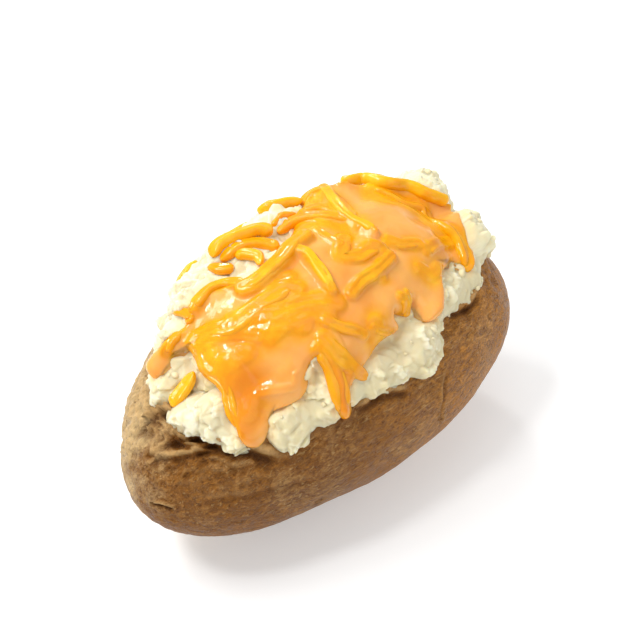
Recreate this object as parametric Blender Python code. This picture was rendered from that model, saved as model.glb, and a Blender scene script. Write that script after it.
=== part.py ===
"""Baked potato, split along its top and heaped with its own flesh, cheese sauce and grated cheese.

Every separate piece is one closed solid in its own object: the jacket, the flesh that fills it and
stands above the split, the poured cheese sauce, and each shred of cheese. X runs along the potato,
-Y is the side that the sauce runs down, and Z is up. The origin is under the middle, on the surface
that the potato rests on.
"""
import math

import bmesh
import bpy
from mathutils import Vector, noise
from mathutils.bvhtree import BVHTree

MM = 0.001

# ---------------------------------------------------------------- potato
HALF_LENGTH = 62.5 * MM
HALF_WIDTH = 36.6 * MM
HALF_HEIGHT = 30.5 * MM
REST_CUT = 0.6 * MM          # how much of the round underside the flat resting spot takes off
END_POWER = 1.09             # over 1 draws the two ends out a little
TAPER = 0.07                 # how much thicker the +X half grows towards its end
BEND = 6.5 * MM              # how far both ends lean to -Y of the middle
JACKET_WALL = 2.2 * MM
GAP = 0.3 * MM               # between pieces that touch
POTATO_SIDES = 28
POTATO_RINGS = 20

# ---------------------------------------------------------------- split in the jacket
SPLIT_CENTRE = Vector((0.0, -2.0 * MM, 62.0 * MM))
SPLIT_HALF_LENGTH = 46.0 * MM
SPLIT_HALF_WIDTH = 21.0 * MM
SPLIT_DEPTH = 50.0 * MM
SPLIT_SIDES = 24
NECK_RISE = 1.2 * MM         # how far the flesh in the split stands over the skin, inside the heap
SPLIT_RAGGED = 0.07          # unevenness of its outline, as a share of its size

# ---------------------------------------------------------------- heap of flesh
# The heap is mapped like a dome: a place is a bearing round the dome and an angle down from its top.
DOME_CENTRE = Vector((0.0, -3.0 * MM, 40.0 * MM))
DOME_RADII = Vector((46.0 * MM, 27.0 * MM, 27.0 * MM))
HEAP_CENTRE = Vector((0.0, -1.0 * MM, 45.0 * MM))
HEAP_RADII = Vector((45.0 * MM, 28.5 * MM, 25.5 * MM))
CLUMP_SQUASH = Vector((1.1, 1.0, 1.0))
HEAP_SIDES = 50
HEAP_RINGS = 32
LUMP_SIZE = 7.0 * MM
LUMP_DEPTH = 1.0 * MM
# Clumps pushed out round the edge of the heap: X, Y, Z and radius, in millimetres.
FRONT_CLUMPS = (
    (-46, -8, 45, 6.8), (-39, -17, 45, 7.0), (-29, -22, 44, 7.0), (-17, -24, 48, 7.5),
    (-4, -26, 46, 8.0), (9, -27, 47, 8.7), (23, -19, 50, 8.7), (36, -18, 47, 8.0),
)
RIDGE_CLUMPS = (
    (45, -10, 49, 9.3), (46, 4, 53, 9.5), (33, 9, 58, 10.0), (18, 12, 60, 9.8), (2, 13, 61, 9.8),
    (-13, 11, 61.5, 9.6), (-25, 9, 59.5, 9.0), (-34, 7, 54, 8.2), (-42, 5, 47, 7.5),
)
BACK_CLUMPS = (
    (-25, 18, 46, 8.0), (-10, 25, 46, 8.7), (7, 28, 46, 8.7), (24, 25, 46, 8.7), (39, 15, 46, 8.3),
)

# ---------------------------------------------------------------- cheese sauce
SAUCE_THICKNESS = 1.6 * MM   # of the half of the ball above its rim
SAUCE_SINK = 3.5 * MM        # of the half below its rim, before that is trimmed to fit the flesh
SAUCE_RIM_LIFT = 1.5 * MM    # height of the rim's outermost line over the flesh
SAUCE_GAP = 0.6 * MM         # between the sauce and the uneven flesh under it
SAUCE_MIDDLE = -25.0         # the poured middle lies this many degrees down the -Y side
SAUCE_SIDES = 60
SAUCE_RINGS = 14
# Outline seen from the poured middle: bearing and reach, in degrees. Long reaches are the drips.
SAUCE_RIM = (
    (4, 50), (19, 54), (32, 55), (45, 51), (54, 51), (65, 44), (77, 37), (90, 34), (103, 33), (116, 38),
    (128, 48), (135, 60), (142, 71), (147, 71), (153, 59), (165, 56), (178, 56), (190, 59), (198, 65),
    (205, 66), (211, 50), (218, 36), (225, 38), (232, 53), (239, 56), (245, 45), (253, 33), (265, 32),
    (276, 29), (285, 26), (293, 32), (301, 39), (310, 40), (322, 36), (333, 42), (345, 49),
)

# ---------------------------------------------------------------- grated cheese
SHRED_RADIUS = 1.4 * MM
SHRED_POINTS = 7
SHRED_LIFT = 0.4 * MM        # clear space round a shred
DRAPE_CHECKS = 5             # places looked at along each straight run of a shred
PROBES = 8                   # and round its middle line at each of them
STIFFNESS = 6                # rounds in which a strand straightens over the hollows under it
# Each shred on the dome's map, in degrees: its start along X and Y, its heading, its length and how
# far it turns along its length.
SHREDS = (
    (29, 33, -72, 44, 32), (31, 12, -62, 60, -45), (17, 18, -84, 26, -12), (-4, 34, 60, 16, -130),
    (-22, 29, 22, 18, -80), (-16, 21, -42, 8, -10), (-31, 28, -70, 6, 20), (-40, 18, -2, 14, -20),
    (-4, 6, 172, 22, 20), (-5, 16, -22, 18, -45), (12, 27, -10, 14, -50), (-7, -1, -84, 20, -14),
    (-43, 4, -35, 30, 7), (-21, -38, -86, 26, 14), (-52, -5, -172, 13, -15), (-7, -31, 8, 12, 4),
    (4, -7, -100, 16, 85), (16, -25, -25, 18, 30),
)

SKIN_BROWN = (0.30, 0.155, 0.062)
FLESH_CREAM = (0.86, 0.80, 0.60)
SAUCE_ORANGE = (0.98, 0.52, 0.13)
SHRED_GOLD = (0.92, 0.42, 0.03)


def clear_scene():
    """Remove every object that is in the scene."""
    for obj in list(bpy.data.objects):
        bpy.data.objects.remove(obj, do_unlink=True)


def make_collection(name):
    """A new collection linked to the scene."""
    collection = bpy.data.collections.new(name)
    bpy.context.scene.collection.children.link(collection)
    return collection


def make_material(name, colour, roughness):
    """A plain Principled material."""
    material = bpy.data.materials.new(name)
    material.use_nodes = True
    shader = material.node_tree.nodes["Principled BSDF"]
    shader.inputs["Base Color"].default_value = (*colour, 1.0)
    shader.inputs["Roughness"].default_value = roughness
    shader.inputs["Metallic"].default_value = 0.0
    return material


def add_mesh_object(name, bm, collection, material=None):
    """Turn a bmesh into an object of the collection, in flat triangles, shaded smooth."""
    bmesh.ops.triangulate(bm, faces=bm.faces)
    mesh = bpy.data.meshes.new(name)
    bm.to_mesh(mesh)
    bm.free()
    mesh.shade_smooth()
    obj = bpy.data.objects.new(name, mesh)
    collection.objects.link(obj)
    if material is not None:
        mesh.materials.append(material)
    return obj


def mark_cutter(obj):
    """Show an object as a guide that is not part of the model."""
    obj.hide_render = True
    obj.display_type = "WIRE"
    return obj


def boolean(obj, cutter, operation):
    """Add an exact Boolean modifier."""
    modifier = obj.modifiers.new(operation.lower(), "BOOLEAN")
    modifier.operation = operation
    modifier.solver = "EXACT"
    modifier.object = cutter


def freeze(obj):
    """Apply an object's modifiers, so that later pieces can be fitted to its final surface."""
    graph = bpy.context.evaluated_depsgraph_get()
    mesh = bpy.data.meshes.new_from_object(obj.evaluated_get(graph), depsgraph=graph)
    obj.modifiers.clear()
    obj.data = mesh
    return obj


# ================================================================ potato
def potato_surface(direction, inset):
    """Point of the potato's skin, moved in by inset, in the direction of a unit vector."""
    reach = abs(direction.x) ** END_POWER
    along = math.copysign(reach, direction.x)
    thickness = 1.0 + TAPER * along
    x = (HALF_LENGTH - inset) * along
    y = (HALF_WIDTH - inset) * direction.y * thickness - BEND * along ** 2
    z = (HALF_HEIGHT - inset) * direction.z * thickness + HALF_HEIGHT - REST_CUT
    return Vector((x, y, z))


def add_potato_form(name, inset, collection):
    """Whole potato as a closed form, from a sphere whose poles are turned to the two ends."""
    bm = bmesh.new()
    bmesh.ops.create_uvsphere(bm, u_segments=POTATO_SIDES, v_segments=POTATO_RINGS, radius=1.0)
    for vert in bm.verts:
        direction = Vector((vert.co.z, vert.co.x, vert.co.y)).normalized()
        vert.co = potato_surface(direction, inset)
    return add_mesh_object(name, bm, collection)


def add_ground_cutter(collection):
    """Block under the resting plane, which cuts the small flat spot."""
    size = 4.0 * HALF_LENGTH
    bm = bmesh.new()
    bmesh.ops.create_cube(bm, size=size)
    bmesh.ops.translate(bm, verts=bm.verts, vec=(0.0, 0.0, -size / 2))
    return mark_cutter(add_mesh_object("ground_cutter", bm, collection))


def add_split_form(name, inset, collection):
    """Upright plug with the ragged oval outline of the split."""
    bm = bmesh.new()
    bmesh.ops.create_cone(bm, cap_ends=True, segments=SPLIT_SIDES, radius1=1.0, radius2=1.0, depth=1.0)
    for vert in bm.verts:
        ragged = 1.0 + SPLIT_RAGGED * noise.noise(Vector((vert.co.x * 2.3, vert.co.y * 2.3, 0.7)))
        vert.co.x *= (SPLIT_HALF_LENGTH - inset) * ragged
        vert.co.y *= (SPLIT_HALF_WIDTH - inset) * ragged
        vert.co.z *= SPLIT_DEPTH - 2 * inset
        vert.co += SPLIT_CENTRE
    return mark_cutter(add_mesh_object(name, bm, collection))


def add_jacket(parts, cutters):
    """Brown skin with the firm layer that stays on it, open along the split."""
    jacket = add_potato_form("jacket", 0.0, parts)
    jacket.data.materials.append(make_material("baked_skin", SKIN_BROWN, 0.7))
    boolean(jacket, add_ground_cutter(cutters), "DIFFERENCE")
    boolean(jacket, mark_cutter(add_potato_form("jacket_hollow", JACKET_WALL, cutters)), "DIFFERENCE")
    boolean(jacket, add_split_form("split_cutter", 0.0, cutters), "DIFFERENCE")
    return freeze(jacket)


# ================================================================ flesh
def clump_reach(ray, centre, radii):
    """Share of a ray from the dome's centre at which it leaves a clump, or 0 where it misses."""
    start = Vector(a / b for a, b in zip(DOME_CENTRE - centre, radii))
    step = Vector(a / b for a, b in zip(ray, radii))
    half = start.dot(step)
    square = half * half - step.dot(step) * (start.dot(start) - 1.0)
    if square < 0.0:
        return 0.0
    return (math.sqrt(square) - half) / step.dot(step)


def heap_surface(unit):
    """Point where a ray from the dome's centre leaves the last clump that it goes through."""
    ray = Vector(a * b for a, b in zip(unit, DOME_RADII))
    share = clump_reach(ray, HEAP_CENTRE, HEAP_RADII)
    for x, y, z, radius in FRONT_CLUMPS + RIDGE_CLUMPS + BACK_CLUMPS:
        share = max(share, clump_reach(ray, Vector((x, y, z)) * MM, CLUMP_SQUASH * radius * MM))
    point = DOME_CENTRE + ray * share
    lump = noise.noise(point / LUMP_SIZE) + 0.5 * noise.noise(point * 2.1 / LUMP_SIZE)
    return point + ray.normalized() * LUMP_DEPTH * lump


def add_heap_form(parts):
    """Fluffed flesh over the split: a ball whose skin is pushed out to the dome and its clumps."""
    bm = bmesh.new()
    bmesh.ops.create_uvsphere(bm, u_segments=HEAP_SIDES, v_segments=HEAP_RINGS, radius=1.0)
    for vert in bm.verts:
        vert.co = heap_surface(vert.co.normalized())
    return add_mesh_object("flesh", bm, parts)


def add_clearance(heap, skin_clearance, cutters):
    """What the sauce has to stay out of: the heap swollen by the gap, and the swollen potato."""
    mesh = heap.data.copy()
    for vert, normal in zip(mesh.vertices, [vert.normal.copy() for vert in mesh.vertices]):
        vert.co += normal * SAUCE_GAP
    clearance = mark_cutter(bpy.data.objects.new("heap_clearance", mesh))
    cutters.objects.link(clearance)
    boolean(clearance, skin_clearance, "UNION")
    return freeze(clearance)


def add_flesh(parts, cutters):
    """Flesh that fills the jacket, rises through the split and is heaped over it."""
    flesh = add_heap_form(parts)
    flesh.data.materials.append(make_material("potato_flesh", FLESH_CREAM, 0.6))
    skin_clearance = mark_cutter(add_potato_form("skin_clearance", -GAP, cutters))
    clearance = add_clearance(flesh, skin_clearance, cutters)
    boolean(flesh, skin_clearance, "DIFFERENCE")
    neck = add_split_form("neck", GAP, cutters)
    boolean(neck, mark_cutter(add_potato_form("neck_height", -NECK_RISE, cutters)), "INTERSECT")
    boolean(flesh, freeze(neck), "UNION")
    boolean(flesh, mark_cutter(add_potato_form("filling", JACKET_WALL + GAP, cutters)), "UNION")
    return freeze(flesh), clearance


# ================================================================ sauce
def surface_tree(objects):
    """One search tree over the surfaces of several objects."""
    points = []
    faces = []
    for obj in objects:
        first = len(points)
        points.extend(vert.co.copy() for vert in obj.data.vertices)
        faces.extend([first + index for index in face.vertices] for face in obj.data.polygons)
    return BVHTree.FromPolygons(points, faces)


def map_ray(across, away):
    """Ray out of the dome for a place on its map, in degrees from its top along X and Y."""
    down = math.radians(math.hypot(across, away))
    turn = math.atan2(away, across)
    unit = Vector((math.sin(down) * math.cos(turn), math.sin(down) * math.sin(turn), math.cos(down)))
    return Vector(a * b for a, b in zip(unit, DOME_RADII))


def sauce_ray(bearing, reach):
    """Ray for a bearing and reach, in degrees, seen from the poured middle."""
    across = reach * math.cos(math.radians(bearing))
    away = reach * math.sin(math.radians(bearing)) + SAUCE_MIDDLE
    return map_ray(across, away)


def rim_reach(bearing):
    """Reach of the sauce's outline at a bearing, eased between the two rim points beside it."""
    bearings = [point[0] for point in SAUCE_RIM]
    after = next((i for i, value in enumerate(bearings) if value > bearing % 360), 0)
    start, start_reach = SAUCE_RIM[after - 1]
    end, end_reach = SAUCE_RIM[after]
    share = ((bearing - start) % 360) / ((end - start) % 360)
    ease = share * share * (3 - 2 * share)
    return start_reach + (end_reach - start_reach) * ease


def add_sauce(flesh, clearance, parts):
    """Poured sauce: a flattened ball whose rim runs out into drips, draped over the flesh."""
    tree = surface_tree([flesh])
    bm = bmesh.new()
    bmesh.ops.create_uvsphere(bm, u_segments=SAUCE_SIDES, v_segments=SAUCE_RINGS, radius=1.0)
    for vert in bm.verts:
        bearing = math.degrees(math.atan2(vert.co.y, vert.co.x)) % 360
        spread = math.hypot(vert.co.x, vert.co.y)
        ray = sauce_ray(bearing, rim_reach(bearing) * spread)
        hit = tree.ray_cast(DOME_CENTRE + 2 * ray, -ray.normalized())[0]
        rise = SAUCE_THICKNESS if vert.co.z > 0 else SAUCE_SINK
        vert.co = hit + ray.normalized() * (SAUCE_RIM_LIFT + rise * vert.co.z)
    sauce = add_mesh_object("cheese_sauce", bm, parts, make_material("sauce", SAUCE_ORANGE, 0.25))
    boolean(sauce, clearance, "DIFFERENCE")
    freeze(sauce)
    keep_largest_piece(sauce)
    return sauce


def keep_largest_piece(obj):
    """Drop the small slivers that a cut leaves beside the piece."""
    bm = bmesh.new()
    bm.from_mesh(obj.data)
    unseen = set(bm.verts)
    pieces = []
    while unseen:
        piece = {unseen.pop()}
        edge_of_search = list(piece)
        while edge_of_search:
            vert = edge_of_search.pop()
            beside = {edge.other_vert(vert) for edge in vert.link_edges} & unseen
            unseen -= beside
            piece |= beside
            edge_of_search.extend(beside)
        pieces.append(piece)
    largest = max(pieces, key=len)
    bmesh.ops.delete(bm, geom=[vert for vert in bm.verts if vert not in largest], context="VERTS")
    bm.to_mesh(obj.data)
    bm.free()


# ================================================================ shreds
def shred_plan(start_x, start_y, heading, length, turn):
    """Places of a shred's points on the dome's map: an arc that turns evenly along its length."""
    step = length / (SHRED_POINTS - 1)
    across, away = start_x, start_y
    places = [(across, away)]
    for i in range(SHRED_POINTS - 1):
        angle = math.radians(heading + turn * (i + 0.5) / (SHRED_POINTS - 1))
        across += step * math.cos(angle)
        away += step * math.sin(angle)
        places.append((across, away))
    return places


def clear_distance(tree, outward):
    """Distance from the dome's centre, along a unit vector, at which a strand clears what is there."""
    side = outward.orthogonal().normalized()
    other = outward.cross(side)
    far = outward * 4 * DOME_RADII.x
    reach = 0.0
    for i in range(PROBES + 1):
        angle = 2 * math.pi * i / PROBES
        offset = (side * math.cos(angle) + other * math.sin(angle)) * (SHRED_RADIUS + SHRED_LIFT)
        if i == PROBES:
            offset = Vector()
        hit = tree.ray_cast(DOME_CENTRE + far + offset, -outward)[0]
        if hit is not None:
            reach = max(reach, (hit - DOME_CENTRE).dot(outward))
    return reach + SHRED_RADIUS + SHRED_LIFT


def draped_points(tree, plan):
    """A shred's points, moved out until they and the straight runs between them are clear."""
    outward = [map_ray(*place).normalized() for place in plan]
    reaches = [clear_distance(tree, direction) for direction in outward]
    for i in range(len(plan) - 1):
        for check in range(1, DRAPE_CHECKS):
            start = outward[i] * reaches[i]
            between = start.lerp(outward[i + 1] * reaches[i + 1], check / DRAPE_CHECKS)
            lift = max(0.0, clear_distance(tree, between.normalized()) - between.length)
            reaches[i] += lift
            reaches[i + 1] += lift
    for _ in range(STIFFNESS):
        for i in range(1, len(plan) - 1):
            reaches[i] = max(reaches[i], (reaches[i - 1] + reaches[i + 1]) / 2)
    return [DOME_CENTRE + direction * reach for direction, reach in zip(outward, reaches)]


def add_shred(name, values, tree, parts, material):
    """Grated shred: a round strand that bridges the hollows of what it lies on."""
    points = draped_points(tree, shred_plan(*values))
    curve = bpy.data.curves.new(name, "CURVE")
    curve.dimensions = "3D"
    curve.bevel_depth = SHRED_RADIUS
    curve.bevel_resolution = 2
    curve.use_fill_caps = True
    spline = curve.splines.new("POLY")
    spline.points.add(len(points) - 1)
    for place, point in zip(spline.points, points):
        place.co = (*point, 1.0)
    strand = bpy.data.objects.new(name, curve)
    parts.objects.link(strand)
    graph = bpy.context.evaluated_depsgraph_get()
    mesh = bpy.data.meshes.new_from_object(strand.evaluated_get(graph), depsgraph=graph)
    bpy.data.objects.remove(strand)
    bpy.data.curves.remove(curve)
    bm = bmesh.new()
    bm.from_mesh(mesh)
    bmesh.ops.remove_doubles(bm, verts=bm.verts, dist=0.01 * MM)
    bpy.data.meshes.remove(mesh)
    shred = add_mesh_object(name, bm, parts)
    shred.data.materials.clear()
    shred.data.materials.append(material)
    return shred


def main():
    """Build the jacket, the flesh, the sauce and the shreds, from the inside out."""
    clear_scene()
    parts = make_collection("baked_potato")
    cutters = make_collection("cutters")
    add_jacket(parts, cutters)
    flesh, clearance = add_flesh(parts, cutters)
    sauce = add_sauce(flesh, clearance, parts)
    gold = make_material("grated_cheese", SHRED_GOLD, 0.35)
    tree = surface_tree([flesh, sauce])
    for number, values in enumerate(SHREDS, start=1):
        add_shred(f"cheese_shred_{number:02d}", values, tree, parts, gold)


main()
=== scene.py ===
"""Looks of a loaded baked potato: skin, fluffed flesh, poured cheese sauce and grated cheese.

The heap on the potato is worked out on a map of a dome. A place on the map is two angles, in degrees,
from the dome's top: one along X and one along Y. Every layer of the heap is a distance from the dome's
middle at each place of the map, so that sauce lies on flesh and cheese lies on sauce with no gaps.
"""

from __future__ import annotations

import itertools
import logging
import math
from collections.abc import Sequence
from dataclasses import dataclass
from enum import Enum
from functools import cached_property
from typing import Any

import bpy
import numpy as np
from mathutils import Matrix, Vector

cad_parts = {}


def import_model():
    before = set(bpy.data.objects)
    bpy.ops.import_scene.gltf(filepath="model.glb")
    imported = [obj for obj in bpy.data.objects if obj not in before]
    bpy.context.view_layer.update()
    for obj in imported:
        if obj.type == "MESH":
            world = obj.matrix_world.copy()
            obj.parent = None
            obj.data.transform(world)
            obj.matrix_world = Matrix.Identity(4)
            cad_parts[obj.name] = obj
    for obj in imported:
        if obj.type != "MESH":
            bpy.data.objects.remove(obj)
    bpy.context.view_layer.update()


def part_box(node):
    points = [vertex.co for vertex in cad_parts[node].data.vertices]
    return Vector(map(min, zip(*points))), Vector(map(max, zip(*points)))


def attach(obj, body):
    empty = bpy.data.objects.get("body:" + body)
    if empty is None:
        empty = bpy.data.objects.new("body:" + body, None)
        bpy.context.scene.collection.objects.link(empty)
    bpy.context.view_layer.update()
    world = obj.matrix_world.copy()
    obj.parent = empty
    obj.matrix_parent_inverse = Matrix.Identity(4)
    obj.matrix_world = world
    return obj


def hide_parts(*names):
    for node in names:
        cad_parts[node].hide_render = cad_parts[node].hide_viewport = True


Array = np.ndarray
Colour = tuple[float, float, float]

MM = 0.001
BODY = "root"
TABLE_SIZE = 256
MIX_FIRST, MIX_SECOND, MIX_RESULT = 6, 7, 2

log = logging.getLogger("baked_potato")


# ============================================================ numbers on whole arrays
def gradient_noise(points: Array, seed: int) -> Array:
    """Smooth noise, from about -1 to 1.

    Each corner of a unit lattice has a random direction. The noise is the dot product of that
    direction with the way from the corner, blended over the eight corners with an eased weight.

    Args:
        points: Positions in lattice units, shape (..., 3).
        seed: Which noise of the family.

    Returns:
        One value for each point.
    """
    rng = np.random.default_rng(seed)
    table = rng.permutation(TABLE_SIZE)
    directions = rng.normal(size=(TABLE_SIZE, 3))
    directions /= np.linalg.norm(directions, axis=1, keepdims=True)
    corner = np.floor(points).astype(np.int64)
    local = points - corner
    ease = local**3 * (local * (local * 6 - 15) + 10)
    total = np.zeros(points.shape[:-1])
    for step in itertools.product((0, 1), repeat=3):
        index = table_place(table, corner + step)
        weight = np.prod(np.where(step, ease, 1 - ease), axis=-1)
        total += weight * np.einsum("...i,...i", directions[index], local - step)
    return total * 1.7


def table_place(table: Array, cell: Array) -> Array:
    """Place in a shuffled table that each box of a lattice gets, where the table's size is a power of two.

    Args:
        table: Whole numbers from 0 to TABLE_SIZE - 1 in random order.
        cell: Whole coordinates of each box, shape (..., 3).

    Returns:
        One place in a table for each box.
    """
    last = TABLE_SIZE - 1
    index = table[cell[..., 0] & last]
    index = table[(index + cell[..., 1]) & last]
    return table[(index + cell[..., 2]) & last]


def layered_noise(points: Array, size: float, seed: int, layers: int = 3, fall: float = 0.5) -> Array:
    """Sum of noises, each half the size of the one before and weaker by the factor fall."""
    return sum(fall**i * gradient_noise(points * (2**i / size), seed + i) for i in range(layers))


def noise_vectors(points: Array, size: float, seeds: tuple[int, int, int]) -> Array:
    """Vectors that wander from point to point, with a noise of two layers along each axis."""
    return np.stack([layered_noise(points, size, seed, layers=2) for seed in seeds], axis=-1)


def nearest_cells(points: Array, size: float, seed: int) -> tuple[Array, Array, Array, Array]:
    """Cells round a field of scattered points, one in each box of a lattice.

    Args:
        points: Positions in metres, shape (..., 3).
        size: Edge of a lattice box, in metres.
        seed: Which scatter of the family.

    Returns:
        Distance to the nearest scattered point and to the second nearest, in boxes, a random value of
        the nearest, and the way from it along a random direction of its own, in boxes.
    """
    rng = np.random.default_rng(seed)
    table = rng.permutation(TABLE_SIZE)
    jitter = rng.uniform(0.08, 0.92, size=(TABLE_SIZE, 3))
    value = rng.uniform(size=TABLE_SIZE)
    slope = unit(rng.normal(size=(TABLE_SIZE, 3)))
    scaled = points / size
    corner = np.floor(scaled).astype(np.int64)
    first = np.full(points.shape[:-1], 9.0)
    second = first.copy()
    chosen = np.zeros_like(first)
    tilt = np.zeros_like(first)
    for step in itertools.product((-1, 0, 1), repeat=3):
        cell = corner + step
        index = table_place(table, cell)
        way = scaled - cell - jitter[index]
        away = np.sqrt(np.einsum("...i,...i", way, way))
        nearer = away < first
        second = np.where(nearer, first, np.minimum(second, away))
        chosen = np.where(nearer, value[index], chosen)
        tilt = np.where(nearer, np.einsum("...i,...i", way, slope[index]), tilt)
        first = np.where(nearer, away, first)
    return first, second, chosen, tilt


def crumbled(points: Array, size: float, seed: int, crease: float = 0.3) -> tuple[Array, Array]:
    """Relief of broken flesh: each cell is a facet with its own height and tilt, set off by a crease.

    Args:
        points: Positions in metres, shape (..., 3).
        size: Width of a facet, in metres.
        seed: Which pattern of the family.
        crease: Width of the crease between facets, in facets.

    Returns:
        Height from about -1 to 1, and how deep in a crease each point lies, from 0 to 1.
    """
    warp = noise_vectors(points, size * 1.6, (seed + 10, seed + 20, seed + 30))
    first, second, value, tilt = nearest_cells(points + warp * size * 0.35, size, seed)
    level = smooth_step(second - first, 0.0, crease)
    floor = -0.45
    height = (value - 0.5) * 1.1 + tilt * 0.9
    return (height - floor) * level + floor, 1 - level


def scattered_dips(points: Array, spacing: float, width: float, seed: int, rare: float) -> Array:
    """Round dips at scattered points, 1 deep in the middle.

    Args:
        points: Positions in metres, shape (..., 3).
        spacing: Edge of the lattice boxes that hold one point each, in millimetres.
        width: How far from its middle a dip is about a third as deep, in millimetres.
        seed: Which scatter of the family.
        rare: Share of the points that get no dip.

    Returns:
        Depth from 0 to 1.
    """
    away, _, chance, _ = nearest_cells(points, spacing * MM, seed)
    return np.exp(-((away * spacing / width) ** 2)) * (chance > rare)


def smooth_step(values: Array, low: float, high: float) -> Array:
    """0 below low, 1 above high and an eased rise between them."""
    share = np.clip((values - low) / (high - low), 0.0, 1.0)
    return share * share * (3 - 2 * share)


def smooth_max(first: Array, second: Array, blend: float) -> Array:
    """The larger of two arrays, with the crease between them rounded over the width blend."""
    share = np.clip(0.5 + 0.5 * (first - second) / blend, 0.0, 1.0)
    return second + (first - second) * share + blend * share * (1 - share)


def blurred(values: Array, sigma: float) -> Array:
    """A map smoothed by a bell curve of width sigma, in map cells, through its Fourier transform.

    Args:
        values: The map, shape (n, m).
        sigma: Standard deviation of the bell curve, in cells.

    Returns:
        The smoothed map, of the same shape.
    """
    margin = 64
    padded = np.pad(values, margin, mode="edge")
    along = np.fft.fftfreq(padded.shape[0])[:, None]
    across = np.fft.rfftfreq(padded.shape[1])[None, :]
    bell = np.exp(-2 * (math.pi * sigma) ** 2 * (along**2 + across**2))
    smooth = np.fft.irfft2(np.fft.rfft2(padded) * bell, padded.shape)
    return smooth[margin:-margin, margin:-margin]


def curve_through(points: Array, count: int, closed: bool = False) -> Array:
    """Evenly spaced points on the Catmull-Rom curve through the given ones.

    Args:
        points: Points that the curve goes through, shape (n, k).
        count: Number of points that come back.
        closed: Whether the curve runs back to its first point.

    Returns:
        Points at equal steps along the curve, shape (count, k).
    """
    if closed:
        spine = np.concatenate([points[-1:], points, points[:2]])
    else:
        spine = np.concatenate([2 * points[:1] - points[1:2], points, 2 * points[-1:] - points[-2:-1]])
    steps_between = 24
    t = np.linspace(0, 1, steps_between, endpoint=False)[None, :, None]
    a, b, c, d = (spine[i : len(spine) - 3 + i, None] for i in range(4))
    pieces = 0.5 * (2 * b + (c - a) * t + (2 * a - 5 * b + 4 * c - d) * t**2 + (3 * b - a - 3 * c + d) * t**3)
    fine = np.concatenate([pieces.reshape(-1, points.shape[1]), spine[-2:-1]])
    run = way_along(fine)
    at = np.linspace(0, run[-1], count, endpoint=not closed)
    return np.stack([np.interp(at, run, fine[:, k]) for k in range(points.shape[1])], axis=1)


def way_along(points: Array) -> Array:
    """Length of a line of points up to each of them."""
    return np.concatenate([[0], np.cumsum(np.linalg.norm(np.diff(points, axis=0), axis=1))])


def full_turn(count: int) -> Array:
    """Evenly spaced angles of one whole turn, in radians, as a row."""
    return np.linspace(0, 2 * math.pi, count, endpoint=False)[None, :]


def signed_power(values: Array, power: float) -> Array:
    """Values brought to a power with their signs kept."""
    return np.sign(values) * np.abs(values) ** power


def apart(places: Array) -> tuple[Array, Array]:
    """The two coordinates of places, each as an array of its own."""
    return places[..., 0], places[..., 1]


def unit(vectors: Array) -> Array:
    """Vectors brought to length one."""
    return vectors / np.maximum(np.linalg.norm(vectors, axis=-1, keepdims=True), 1e-12)


def grid_normals(grid: Array) -> Array:
    """Outward unit normals of a grid like closed_mesh takes, from its central differences.

    Args:
        grid: Points, shape (rings, columns, 3), whose columns wrap round.

    Returns:
        One normal for each point.
    """
    down = np.gradient(grid, axis=0)
    across = np.roll(grid, -1, axis=1) - np.roll(grid, 1, axis=1)
    return unit(np.cross(down, across))


# ============================================================ meshes
def closed_mesh(name: str, grid: Array, layers: dict[str, Array] | None = None) -> bpy.types.Object:
    """A closed skin over a grid of rings, whose first and last ring each shrink to one point.

    Columns wrap round. The mean of the first ring and the mean of the last are the two poles, joined
    to the ring beside them by fans of triangles.

    Args:
        name: Name of the piece.
        grid: Points, shape (rings, columns, 3), rings ordered so that normals point out.
        layers: Named numbers for each grid point, kept as point attributes.

    Returns:
        The new object, at the origin.
    """
    inner = grid[1:-1]
    rings, columns = inner.shape[:2]
    points = np.concatenate([inner.reshape(-1, 3), [grid[0].mean(axis=0)], [grid[-1].mean(axis=0)]])
    index = np.arange(rings * columns).reshape(rings, columns)
    following = np.roll(index, -1, axis=1)
    quads = np.stack([index[:-1], index[1:], following[1:], following[:-1]], axis=-1).reshape(-1, 4)
    first_pole = np.full(columns, rings * columns)
    start = np.stack([first_pole, index[0], following[0]], axis=-1)
    end = np.stack([first_pole + 1, following[-1], index[-1]], axis=-1)
    obj = mesh_of(name, points, [quads, start, end])
    for label, values in (layers or {}).items():
        flat = np.concatenate([values[1:-1].reshape(-1), [values[0].mean()], [values[-1].mean()]])
        add_layer(obj, label, flat)
    return obj


def mesh_of(name: str, points: Array, faces: Sequence[Array]) -> bpy.types.Object:
    """A smooth-shaded object from its points and from arrays of faces with the same corner count.

    Args:
        name: Name of the object and of its mesh.
        points: Points, shape (n, 3).
        faces: Arrays of corner numbers, one array for each number of corners a face has.

    Returns:
        The new object, at the origin.
    """
    corners = np.concatenate([group.reshape(-1) for group in faces])
    sizes = np.concatenate([np.full(len(group), group.shape[1]) for group in faces])
    starts = np.concatenate([[0], np.cumsum(sizes)[:-1]])
    mesh = bpy.data.meshes.new(name)
    mesh.vertices.add(len(points))
    mesh.vertices.foreach_set("co", np.ascontiguousarray(points, dtype=np.float32).reshape(-1))
    mesh.loops.add(len(corners))
    mesh.loops.foreach_set("vertex_index", corners.astype(np.int32))
    mesh.polygons.add(len(sizes))
    mesh.polygons.foreach_set("loop_start", starts.astype(np.int32))
    mesh.update(calc_edges=True)
    mesh.validate()
    mesh.shade_smooth()
    obj = bpy.data.objects.new(name, mesh)
    bpy.context.scene.collection.objects.link(obj)
    return obj


def add_layer(obj: bpy.types.Object, label: str, values: Array) -> None:
    """Keep one number for each point of a mesh as a named attribute."""
    layer = obj.data.attributes.new(label, "FLOAT", "POINT")
    layer.data.foreach_set("value", values.astype(np.float32))


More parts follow.
